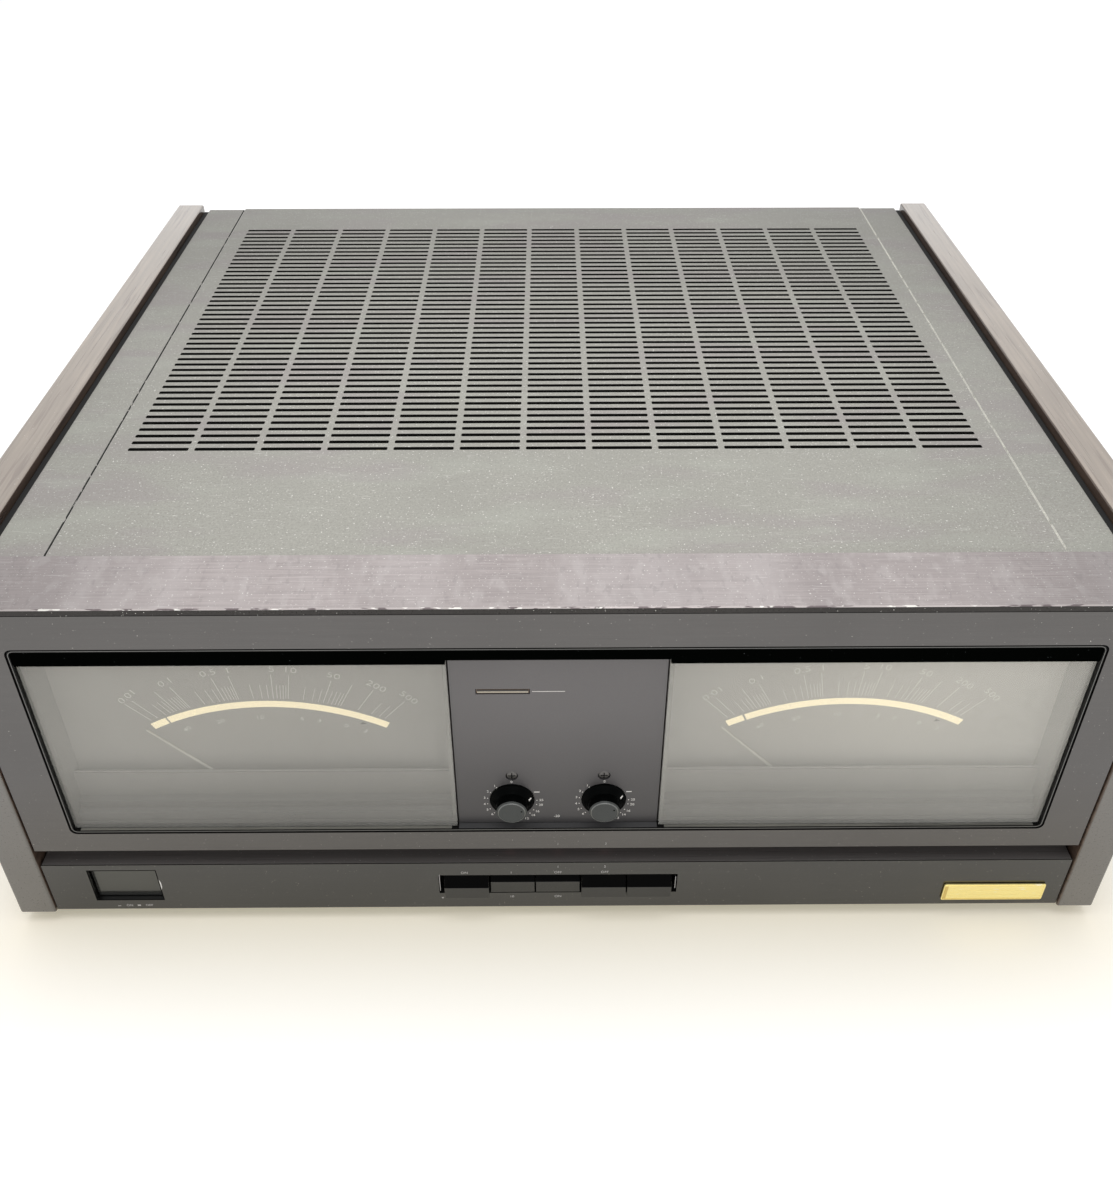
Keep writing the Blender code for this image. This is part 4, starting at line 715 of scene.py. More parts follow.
def polygon(radius: float, count: int, rise: float = 0.0) -> list[Flat]:
    """A regular polygon's corners, around a point that may lie above the origin."""
    turns = [math.tau * number / count for number in range(count)]
    return [(radius * math.cos(turn), rise + radius * math.sin(turn)) for turn in turns]


def rounded_outline(left: float, right: float, bottom: float, top: float, radius: float,
                    steps: int = 4) -> list[Flat]:
    """A rectangle with quarter-circle corners.

    Args:
        left: Lowest first coordinate.
        right: Highest first coordinate.
        bottom: Lowest second coordinate.
        top: Highest second coordinate.
        radius: Corner radius.
        steps: Steps in each corner.

    Returns:
        Its points, anticlockwise from the right end of the top edge's corner.
    """
    corners = ((right - radius, top - radius), (left + radius, top - radius),
               (left + radius, bottom + radius), (right - radius, bottom + radius))
    points = []
    for quarter, (x, y) in enumerate(corners):
        for step in range(steps + 1):
            turn = math.pi / 2 * (quarter + step / steps)
            points.append((x + radius * math.cos(turn), y + radius * math.sin(turn)))
    return points


def facing(x: float, y: float, z: float, turn: float = 0.0) -> Matrix:
    """Turns local Z to the viewer and local Y upwards.

    Args:
        x: Place along X.
        y: Place along Y.
        z: Place along Z.
        turn: Degrees clockwise as the viewer sees it.

    Returns:
        The transform.
    """
    turned = Euler((math.radians(90.0), math.radians(turn), 0.0)).to_matrix().to_4x4()
    return Matrix.Translation((x, y, z)) @ turned


def backing(x: float, y: float, z: float) -> Matrix:
    """Turns local Z to the rear.

    Args:
        x: Place along X.
        y: Place along Y.
        z: Place along Z.

    Returns:
        The transform.
    """
    return Matrix.Translation((x, y, z)) @ Matrix.Rotation(-math.pi / 2, 4, "X")


@dataclass
class Studio:
    """Camera, lamps, floor and sky."""

    lens: float = 35.2
    sensor: float = 36.0
    shift: float = -20.0
    photo_height: float = 1200.0
    place: Place = (-0.0033, -0.56785, 0.4677)
    tilt: float = 52.79
    swing: float = -0.43
    aim: Place = (0.0, 0.0, 0.1)
    key_place: Place = (-0.05, -0.25, 1.75)
    key_power: float = 13.0
    key_size: float = 1.4
    fill_place: Place = (0.3, -2.4, 1.1)
    fill_power: float = 6.0
    fill_size: float = 1.6
    floor_size: float = 6.0
    floor_cloud: float = 0.4
    sky_strength: float = 0.60
    floor_colour: Colour = (0.88, 0.83, 0.75)
    # The floor's white lift is weaker and warmer near the amplifier and fades out over a short width: a
    # painted shadow round its base.
    near_lift: Colour = (0.24, 0.225, 0.165)
    far_lift: Colour = (0.40, 0.44, 0.50)
    near_reach: Place = (0.25, 0.22, 0.0)
    lift_width: float = 0.10

    def camera(self) -> None:
        """Stands the camera where the photograph was taken."""
        data = bpy.data.cameras.new("camera")
        data.lens, data.sensor_fit, data.sensor_height = self.lens, "VERTICAL", self.sensor
        data.shift_y = self.shift / self.photo_height
        data.clip_start, data.clip_end = 0.02, 50.0
        camera = bpy.data.objects.new("camera", data)
        camera.location = self.place
        camera.rotation_euler = (math.radians(self.tilt), 0.0, math.radians(self.swing))
        bpy.context.scene.collection.objects.link(camera)
        bpy.context.scene.camera = camera

    def lamp(self, name: str, place: Place, power: float, size: float) -> None:
        """Adds a soft lamp that points at the amplifier.

        Args:
            name: Its name.
            place: Where it stands.
            power: Its power in watts.
            size: Its side.
        """
        data = bpy.data.lights.new(name, "AREA")
        data.energy, data.size = power, size
        lamp = bpy.data.objects.new(name, data)
        lamp.location = place
        aim = Vector(self.aim) - Vector(place)
        lamp.rotation_euler = aim.to_track_quat("-Z", "Y").to_euler()
        bpy.context.scene.collection.objects.link(lamp)

    @staticmethod
    def seen(graph: Graph) -> bpy.types.NodeSocket:
        """Tells rays that show a white surface from those that light the amplifier.

        Args:
            graph: The material's nodes.

        Returns:
            1 for camera, glossy and transmission rays and 0 for others.
        """
        path = graph.node("LightPath")
        seen = graph.node("Math", {0: path.outputs["Is Camera Ray"], 1: path.outputs["Is Glossy Ray"]},
                          operation="MAXIMUM")
        seen = graph.node("Math", {0: seen.outputs[0], 1: path.outputs["Is Transmission Ray"]},
                          operation="MAXIMUM")
        return seen.outputs[0]

    def sky(self) -> None:
        """Makes a sky that is white to look at and gives plain light."""
        world = bpy.data.worlds.new("sky")
        bpy.context.scene.world = world
        world.use_nodes = True
        graph = Graph(world.node_tree)
        strength = graph.ranged(self.seen(graph), 0.0, 1.0, self.sky_strength, 1.0)
        light = graph.node("Background", {"Color": (1.0, 1.0, 1.0, 1.0), "Strength": strength})
        graph.node("OutputWorld", {"Surface": light.outputs[0]})

    def floor(self) -> None:
        """Lays the pale floor, whose white lift for seen rays is weaker and warmer near the amplifier as a
        painted shadow.
        """
        bm = bmesh.new()
        bmesh.ops.create_grid(bm, x_segments=8, y_segments=8, size=self.floor_size)
        mesh = bpy.data.meshes.new("floor")
        bm.to_mesh(mesh)
        bm.free()
        floor = bpy.data.objects.new("floor", mesh)
        bpy.context.scene.collection.objects.link(floor)
        material = bpy.data.materials.new("floor")
        material.use_nodes = True
        graph = Graph(material.node_tree)
        place = graph.node("TexCoord").outputs["Object"]
        cloud = graph.noise(place, even(self.floor_cloud), 3.0)
        low = tuple(part * 0.985 for part in self.floor_colour)
        colour = graph.mixed(cloud, low, self.floor_colour)
        matt = graph.node("BsdfPrincipled", {"Base Color": colour, "Roughness": 0.7,
                                             "Specular IOR Level": 0.2})
        # The lift grows with the distance from the amplifier's box: weaker near it as a painted shadow.
        away = graph.node("VectorMath", {0: place}, operation="ABSOLUTE").outputs[0]
        away = graph.node("VectorMath", {0: away, 1: self.near_reach}, operation="SUBTRACT").outputs[0]
        away = graph.node("VectorMath", {0: away, 1: even(0.0)}, operation="MAXIMUM").outputs[0]
        away = graph.node("VectorMath", {0: away}, operation="LENGTH").outputs["Value"]
        share = graph.ranged(away, 0.0, self.lift_width, 0.0, 1.0)
        white = graph.mixed(share, self.near_lift, self.far_lift)
        lift = graph.node("Emission", {"Color": white, "Strength": self.seen(graph)})
        both = graph.node("AddShader", {0: matt.outputs[0], 1: lift.outputs[0]})
        graph.node("OutputMaterial", {"Surface": both.outputs[0]})
        mesh.materials.append(material)

    def build(self) -> None:
        """Sets up the whole studio."""
        self.camera()
        self.lamp("key", self.key_place, self.key_power, self.key_size)
        self.lamp("front_fill", self.fill_place, self.fill_power, self.fill_size)
        self.sky()
        self.floor()
        bpy.context.scene.view_settings.view_transform = "Standard"


@dataclass
class Cover:
    """Steel cover with its field of vent slots."""

    columns: int = 13
    rows: int = 46
    field_width: float = 396.4 * MM
    field_front: float = 120.3 * MM
    field_length: float = 278.5 * MM
    rib: float = 3.0 * MM
    slot_width: float = 2.5 * MM
    corner: float = 0.7 * MM
    edge: float = 0.10 * MM
    step_offset: float = 208.0 * MM
    step: float = 0.6 * MM
    seam: float = 0.9 * MM
    seam_depth: float = 0.55 * MM
    thick: float = 1.5 * MM
    side_margin: float = 1.2 * MM
    end_margin: float = 1.0 * MM
    edge_drop: float = 0.35 * MM

    def lines(self, start: float, pitch: float, count: int) -> list[float]:
        """Evenly spaced lines.

        Args:
            start: The first.
            pitch: The space between two.
            count: The number of spaces.

        Returns:
            One line more than spaces.
        """
        return [start + pitch * number for number in range(count + 1)]

    def build(self) -> None:
        """Makes the sheet with all slots as one closed shape."""
        low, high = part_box("top_cover")
        solid = Solid()
        bm = solid.bm
        cell_x = (self.field_width + self.rib) / self.columns
        pitch_y = (self.field_length - self.slot_width) / (self.rows - 1)
        left = -(self.field_width + self.rib) / 2
        front = FACE + self.field_front - (pitch_y - self.slot_width) / 2
        outer = self.step_offset + self.step
        seams = (outer, outer + self.seam / 2, outer + self.seam)
        before_x = [low.x, low.x + self.side_margin, *(-x for x in reversed(seams)), -self.step_offset]
        before_y = [low.y, low.y + self.end_margin]
        xs = [*before_x, *self.lines(left, cell_x, self.columns),
              self.step_offset, *seams, high.x - self.side_margin, high.x]
        ys = [*before_y, *self.lines(front, pitch_y, self.rows), high.y - self.end_margin, high.y]

        def level(x: float, y: float) -> float:
            """Finds the height of the sheet's upper face.

            Args:
                x: Place along X.
                y: Place along Y.

            Returns:
                The height.
            """
            top = high.z - (self.step if abs(x) > self.step_offset + self.step / 2 else 0.0)
            if abs(x) == seams[1]:
                top -= self.seam_depth
            if y in (low.y, high.y) or x in (low.x, high.x):
                top -= self.edge_drop
            return top

        grids = []
        for drop in (0.0, self.thick):
            grids.append([[bm.verts.new((x, y, level(x, y) - drop)) for y in ys] for x in xs])
        upper, lower = grids
        outline = rounded_outline(self.rib / 2, cell_x - self.rib / 2, (pitch_y - self.slot_width) / 2,
                                  (pitch_y + self.slot_width) / 2, self.corner, 3)
        quarter = len(outline) // 4
        # The left seam's groove cells take the seam's painted shadow; the step strips on both sides take
        # paint wear.
        seam_wear_and_shadow = {2: SEAM_SHADOW_AND_WEAR, 3: SEAM_SHADOW_AND_WEAR, 4: SEAM_WEAR}
        seam_wear_and_shadow.update({len(xs) - number: SEAM_WEAR for number in (4, 5, 6)})
        for i in range(len(xs) - 1):
            for j in range(len(ys) - 1):
                if 0 <= i - len(before_x) < self.columns and 0 <= j - len(before_y) < self.rows:
                    self.slot(solid, outline, quarter, upper, lower, i, j)
                    continue
                for grid in (upper, lower):
                    corners = [grid[i][j], grid[i + 1][j], grid[i + 1][j + 1], grid[i][j + 1]]
                    solid.face(corners, seam_wear_and_shadow.get(i, COVER_PAINT))
        self.border(solid, upper, lower)
        solid.outward()
        solid.made("vented_cover", CHASSIS, "top_cover", ("top_cover",))

    def slot(self, solid: Solid, outline: list[Flat], quarter: int, upper: list, lower: list, i: int,
             j: int) -> None:
        """Opens one slot in its cell of the grid.

        Args:
            solid: The sheet.
            outline: The slot's outline from the cell's corner.
            quarter: Points in each corner of the outline.
            upper: Vertices of the upper face.
            lower: Vertices of the lower face.
            i: The cell's column.
            j: The cell's row.
        """
        origin = upper[i][j].co
        across, along = [sum(point[k] for point in outline) / len(outline) for k in (0, 1)]
        rings = [solid.ring([(origin.x + x + math.copysign(grow, x - across),
                              origin.y + y + math.copysign(grow, y - along), origin.z - drop)
                             for x, y in outline])
                 for grow, drop in ((self.edge, 0.0), (0.0, self.edge), (0.0, self.thick))]
        for grid, ring in ((upper, rings[0]), (lower, rings[2])):
            a, b, c, d = grid[i][j], grid[i + 1][j], grid[i + 1][j + 1], grid[i][j + 1]
            top_right, top_left = ring[:quarter], ring[quarter:2 * quarter]
            low_left, low_right = ring[2 * quarter:3 * quarter], ring[3 * quarter:]
            solid.face([d, c, top_right[-1], top_left[0]], COVER_PAINT)
            solid.face([a, low_left[-1], low_right[0], b], COVER_PAINT)
            solid.face([d, *top_left, *low_left, a], COVER_PAINT)
            solid.face([b, *low_right, *top_right, c], COVER_PAINT)
        # Near-black slot walls: painted shade inside the slots.
        for first, second in zip(rings, rings[1:]):
            solid.wall(first, second, SLOT_SHADE)

    def border(self, solid: Solid, upper: list, lower: list) -> None:
        """Closes the sheet's outer edges.

        Args:
            solid: The sheet.
            upper: Vertices of the upper face.
            lower: Vertices of the lower face.
        """
        last_x, last_y = len(upper) - 1, len(upper[0]) - 1
        loop = [(i, 0) for i in range(last_x)] + [(last_x, j) for j in range(last_y)]
        loop += [(i, last_y) for i in range(last_x, 0, -1)] + [(0, j) for j in range(last_y, 0, -1)]
        solid.wall([upper[i][j] for i, j in loop], [lower[i][j] for i, j in loop], COVER_PAINT)


@dataclass
class FrontPanels:
    """Upper and lower front panels and the brushed trim on top of them."""

    trim_chamfer: float = 0.5 * MM
    rear_chamfer: float = 0.6 * MM
    end_chamfer: float = 0.3 * MM
    ledge_thick: float = 0.2 * MM
    ledge_side: float = 0.4 * MM
    ledge_front: float = 0.5 * MM

    def trim(self) -> None:
        """Makes the brushed trim, its chamfers lighter with wear and a painted highlight and its front face
        near black as a painted shadow.
        """
        low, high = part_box("top_trim")
        solid = Solid()
        c, r = self.trim_chamfer, self.rear_chamfer
        profile = [(low.y, low.z), (high.y, low.z), (high.y, high.z - r), (high.y - r, high.z),
                   (low.y + c, high.z), (low.y, high.z - c)]
        e = self.end_chamfer
        y_mid, z_mid = centre_of("top_trim")[1:]
        rings = [solid.ring([(x, y - math.copysign(shrink, y - y_mid), z - math.copysign(shrink, z - z_mid))
                             for y, z in profile])
                 for x, shrink in ((low.x, e), (low.x + e, 0.0), (high.x - e, 0.0), (high.x, e))]
        bands = {2: TRIM_EDGE_WEAR_AND_HIGHLIGHT, 4: TRIM_EDGE_WEAR_AND_HIGHLIGHT, 5: TRIM_FACE_SHADOW}
        for first, second in zip(rings, rings[1:]):
            solid.wall(first, second, TRIM_METAL, bands)
        for ring in (rings[0], rings[-1]):
            solid.face(ring, TRIM_METAL)
        solid.outward()
        solid.made("brushed_trim", CHASSIS, "top_trim", ("top_trim",))

    def ledge(self) -> None:
        """Lays the glossy strip on the ledge of the groove."""
        low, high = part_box("lower_panel")
        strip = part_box("indicator_strip")[0]
        solid = Solid()
        solid.block((low.x + self.ledge_side, low.y + self.ledge_front, high.z - SEAT),
                    (high.x - self.ledge_side, strip.y - SEAT, high.z + self.ledge_thick), LEDGE_COAT)
        solid.made("ledge_strip", CHASSIS, "front_panel")

    def build(self) -> None:
        """Makes the trim and the ledge's strip and dresses both panels."""
        self.trim()
        self.ledge()
        dressed("front_panel", PANEL_COAT, 0.35 * MM)
        dressed("lower_panel", LOWER_COAT_SHADED, 0.35 * MM)
        dressed("indicator_strip", SMOKED_PLASTIC, 0.2 * MM)


@dataclass
class Window:
    """Rim, panes and header strip of the meter window."""

    wall: float = 1.0 * MM
    sill_side: float = 2.5 * MM
    sill_front: float = 0.4 * MM
    sill_sink: float = 0.03 * MM
    sill_rise: float = 0.16 * MM
    plate_sill_rise: float = 0.18 * MM
    line_inset: float = 0.35 * MM
    line_width: float = 0.25 * MM
    line_corner: float = 2.6 * MM
    line_rise: float = 0.03 * MM

    def sills(self) -> None:
        """Lays the sills in front of the panes, light grey as a painted highlight, and a dark one in front of
        the control plate.
        """
        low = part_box("window_frame")[0]
        floor = low.z + self.wall
        solid = Solid()
        for node, side, rise, finish in (("meter_glass_left", self.sill_side, self.sill_rise, SILL_HIGHLIGHT),
                                         ("meter_glass_right", self.sill_side, self.sill_rise, SILL_HIGHLIGHT),
                                         ("control_panel", 0.0, self.plate_sill_rise, PLATE_SILL)):
            near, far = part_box(node)
            solid.block((near.x + side, low.y + self.sill_front, floor - self.sill_sink),
                        (far.x - side, near.y - SEAT, floor + rise), finish)
        solid.made("window_sills", CHASSIS, "chassis")

    def rim_line(self) -> None:
        """Makes the fine lighter line around the rim, a painted highlight."""
        low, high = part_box("window_frame")
        solid = Solid()
        outlines = []
        for shrink in (0.0, self.line_width):
            inset = self.line_inset + shrink
            outlines.append(rounded_outline(low.x + inset, high.x - inset, low.z + inset, high.z - inset,
                                            self.line_corner - shrink, 5))
        rings = [solid.ring([(x, y, z) for x, z in outline])
                 for outline in outlines for y in (low.y - self.line_rise, low.y + SEAT)]
        for first, second in ((0, 1), (1, 3), (3, 2), (2, 0)):
            solid.wall(rings[first], rings[second], RIM_HIGHLIGHT)
        solid.outward()
        solid.made("window_rim_highlight", CHASSIS, "chassis")

    def build(self) -> None:
        """Makes and dresses the window's parts."""
        dressed("window_frame", RIM_METAL, 0.2 * MM)
        dressed("window_header", HEADER_BLACK, 0.25 * MM)
        for side in Side:
            dressed(f"meter_glass_{side.word}", GLASS_PAINTED_REFLECTION)
        self.sills()
        self.rim_line()


@dataclass
class Meter:
    """One power meter: its dial print, needle and movement."""

    side: Side
    arc_radius: float = 106.0 * MM
    arc_top: float = 123.9 * MM
    half_span: float = 50.7 * MM
    band: float = 3.4 * MM
    gap_offset: float = -43.5 * MM
    gap: float = 0.9 * MM
    type_stretch: float = 1.4
    print_thick: float = 0.12 * MM
    fan_level: float = 62.0 * MM
    tick_start: float = 3.3 * MM
    tick_long: float = 13.3 * MM
    tick_short: float = 7.6 * MM
    long_half: float = 0.11 * MM
    short_half: float = 0.09 * MM
    number_rise: float = 19.6 * MM
    number_size: float = 4.4 * MM
    number_weight: float = -0.09 * MM
    small_rise: float = -7.9 * MM
    small_size: float = 2.9 * MM
    small_weight: float = -0.05 * MM
    end_mark_turn: float = 38.8
    end_mark_rise: float = -3.9 * MM
    long_ticks: tuple[float, ...] = (
        -44.0, -41.5, -33.7, -28.6, -15.2, -9.9, 3.1, 8.5, 21.2, 27.4, 33.6, 43.1)
    short_ticks: tuple[int, ...] = (0, 3, 4, 3, 4, 3, 4, 3, 4, 0, 2)
    numbers: tuple[tuple[str, float], ...] = (
        ("0.01", -41.1), ("0.1", -28.4), ("0.5", -15.3), ("1", -9.4), ("5", 3.5), ("10", 8.8), ("50", 21.3),
        ("200", 33.6), ("500", 43.0))
    small_numbers: tuple[tuple[str, float], ...] = (
        ("40", -37.5), ("20", -22.2), ("10", -4.1), ("5", 14.9), ("3", 22.4), ("0", 33.8), ("3", 41.8))
    shelf_side: float = 2.3 * MM
    shelf_level: float = 25.4 * MM
    shelf_depths: Place = (4.7 * MM, 7.6 * MM, 11.9 * MM)
    shelf_rises: Flat = (4.8 * MM, 8.6 * MM)
    lip_level: float = 88.9 * MM
    lip_height: float = 0.5 * MM
    lip_rise: float = 0.08 * MM
    hub_radius: float = 4.0 * MM
    hub_back: float = 0.4 * MM
    needle_length: float = 76.0 * MM
    needle_root: float = 0.75 * MM
    needle_tip: float = 0.32 * MM
    needle_thick: float = 0.44 * MM
    needle_tail: float = 11.0 * MM
    tail_thick: float = 0.5 * MM
    rest_turn: float = -44.6

    def __post_init__(self) -> None:
        """Reads the dial's place from the solids."""
        low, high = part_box(f"meter_scale_{self.side.word}")
        self.dial_face = low.y
        joint = next(j for j in frame["joints"] if j["name"] == f"{self.side.word}_needle_swing")
        self.pivot = Vector(joint["pos_m"])

    def arc(self) -> None:
        """Makes the cream band in two stretches with a thin gap between them."""
        centre = self.arc_top - self.arc_radius
        end = math.asin(self.half_span / self.arc_radius)
        middle = math.asin(self.gap_offset / self.arc_radius)
        half_gap = self.gap / self.arc_radius / 2
        outer, inner = self.arc_radius + self.band / 2, self.arc_radius - self.band / 2
        solid = Solid()
        for start, stop, steps in ((-end, middle - half_gap, 4), (middle + half_gap, end, 44)):
            turns = [start + (stop - start) * step / steps for step in range(steps + 1)]
            outline = [(self.pivot.x + outer * math.sin(t), centre + outer * math.cos(t)) for t in turns]
            outline += [(self.pivot.x + inner * math.sin(t), centre + inner * math.cos(t))
                        for t in reversed(turns)]
            front, back = [solid.ring([(x, y, z) for x, z in outline])
                           for y in (self.dial_face - self.print_thick, self.dial_face)]
            solid.wall(front, back, DIAL_BAND)
            for ring in (front, back):
                for k in range(steps):
                    solid.face([ring[k], ring[k + 1], ring[-2 - k], ring[-1 - k]], DIAL_BAND)
        solid.outward()
        solid.made(f"dial_band_{self.side.word}", CHASSIS, "scale_face")

    def reach(self, turn: float) -> float:
        """How far the arc lies from the point that the ticks fan out from.

        Args:
            turn: Degrees clockwise from the top.

        Returns:
            The distance along that direction.
        """
        rise = self.fan_level - (self.arc_top - self.arc_radius)
        along, across = rise * math.cos(math.radians(turn)), rise * math.sin(math.radians(turn))
        return math.sqrt(self.arc_radius ** 2 - across ** 2) - along

    def tick_turns(self) -> list[tuple[float, bool]]:
        """Lays out the scale's ticks, which crowd together before each long one.

        Returns:
            The turn of each tick in degrees and whether it is a long one.
        """
        turns = [(turn, True) for turn in self.long_ticks]
        for start, end, count in zip(self.long_ticks, self.long_ticks[1:], self.short_ticks):
            first = 5.0 if count == 4 else 1.0
            whole = math.log((first + count + 1) / first)
            turns += [(start + (end - start) * math.log((first + n) / first) / whole, False)
                      for n in range(1, count + 1)]
        return turns

    def on_fan(self, turn: float, out: float) -> Matrix:
        """Finds a place on the dial, turned with its radius.

        Args:
            turn: Degrees clockwise from the top.
            out: Distance beyond the arc.

        Returns:
            The transform.
        """
        radius, angle = self.reach(turn) + out, math.radians(turn)
        return facing(self.pivot.x + radius * math.sin(angle), self.dial_face - self.print_thick / 2,
                      self.fan_level + radius * math.cos(angle), turn)

    def marks(self) -> None:
        """Makes the fine ticks and the plain numbers of both scales."""
        solid = Solid()
        half_thick = self.print_thick / 2
        for turn, is_long in self.tick_turns():
            length = self.tick_long if is_long else self.tick_short
            half = self.long_half if is_long else self.short_half
            solid.prism(rectangle(-half, half, 0.0, length), Axis.Z, -half_thick, half_thick, DIAL_PRINT,
                        self.on_fan(turn, self.tick_start))
        wide = Matrix.Diagonal((self.type_stretch, 1.0, 1.0, 1.0))
        for labels, size, rise, weight, finish in (
                (self.numbers, self.number_size, self.number_rise, self.number_weight, DIAL_PRINT),
                (self.small_numbers, self.small_size, self.small_rise, self.small_weight, DIAL_FAINT)):
            for label, turn in labels:
                solid.words(label, size, self.on_fan(turn, rise) @ wide, finish, self.print_thick, weight)
        wedge = [(-0.8 * MM, -1.0 * MM), (0.9 * MM, 0.9 * MM), (-0.9 * MM, 0.6 * MM)]
        solid.prism(wedge, Axis.Z, -half_thick, half_thick, DIAL_MARK,
                    self.on_fan(self.end_mark_turn, self.end_mark_rise))
        solid.made(f"dial_marks_{self.side.word}", CHASSIS, "scale_face")

    def shelf(self) -> None:
        """Makes the stepped shelf below the low cover, with treads lit and risers shaded as painted light and
        shade, and the cover's light lip.
        """
        low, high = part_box(f"meter_housing_{self.side.word}")
        left, right = low.x + self.shelf_side, high.x - self.shelf_side
        front, step, back = [FACE + depth for depth in self.shelf_depths]
        floor = low.z + self.shelf_level
        tread, top = [floor + rise for rise in self.shelf_rises]
        profile = [(front, floor), (front, tread), (step, tread), (step, top), (back, top), (back, floor)]
        solid = Solid()
        solid.prism(profile, Axis.X, left, right, SHELF_SHADED, bands={1: SHELF_LIT, 3: SHELF_LIT})
        solid.block((left, back - SEAT, self.lip_level - self.lip_height),
                    (right, back + self.lip_rise, self.lip_level), COVER_LIP)
        solid.made(f"stepped_shelf_{self.side.word}", CHASSIS, "black_plastic")

    def needle(self) -> None:
        """Makes the fine needle with its hub and counterweight."""
        low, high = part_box(f"meter_needle_{self.side.word}")
        depth, axle = self.dial_face - low.y, self.dial_face - high.y
        solid = Solid()
        move = facing(self.pivot.x, self.dial_face, self.pivot.z, self.rest_turn)
        r, back = self.hub_radius, self.hub_back
        profile = [(0.0, depth), (r - 0.5 * MM, depth), (r, depth - 0.4 * MM), (r, back), (1.1 * MM, back),
                   (1.1 * MM, axle), (0.0, axle)]
        solid.turned(profile, move, 32, MOULDED_BLACK)
        level = (depth + back) / 2
        near = r - 0.3 * MM
        root, tip, end = self.needle_root, self.needle_tip, self.needle_length
        blade = [(-root, near), (root, near), (tip, end - 0.6 * MM), (0.0, end), (-tip, end - 0.6 * MM)]
        tail = [(-0.5 * MM, -near), (-0.5 * MM, -7.0 * MM), (-1.2 * MM, -7.4 * MM),
                (-1.2 * MM, -self.needle_tail), (1.2 * MM, -self.needle_tail), (1.2 * MM, -7.4 * MM),
                (0.5 * MM, -7.0 * MM), (0.5 * MM, -near)]
        for outline, thick, finish in ((blade, self.needle_thick, NEEDLE_PAINT),
                                       (tail, self.tail_thick, MOULDED_BLACK)):
            solid.prism(outline, Axis.Z, level - thick / 2, level + thick / 2, finish, move)
        name = self.side.word
        solid.made(f"fine_needle_{name}", f"{name}_needle", "needle", (f"meter_needle_{name}",))

    def build(self) -> None:
        """Makes and dresses the whole meter."""
        dressed(f"meter_scale_{self.side.word}", DIAL_PLATE, 0.2 * MM)
        dressed(f"meter_housing_{self.side.word}", HOUSING_BLACK, 0.25 * MM)
        dressed(f"meter_movement_{self.side.word}", MOULDED_BLACK, 0.3 * MM)
        self.arc()
        self.marks()
        self.shelf()
        self.needle()


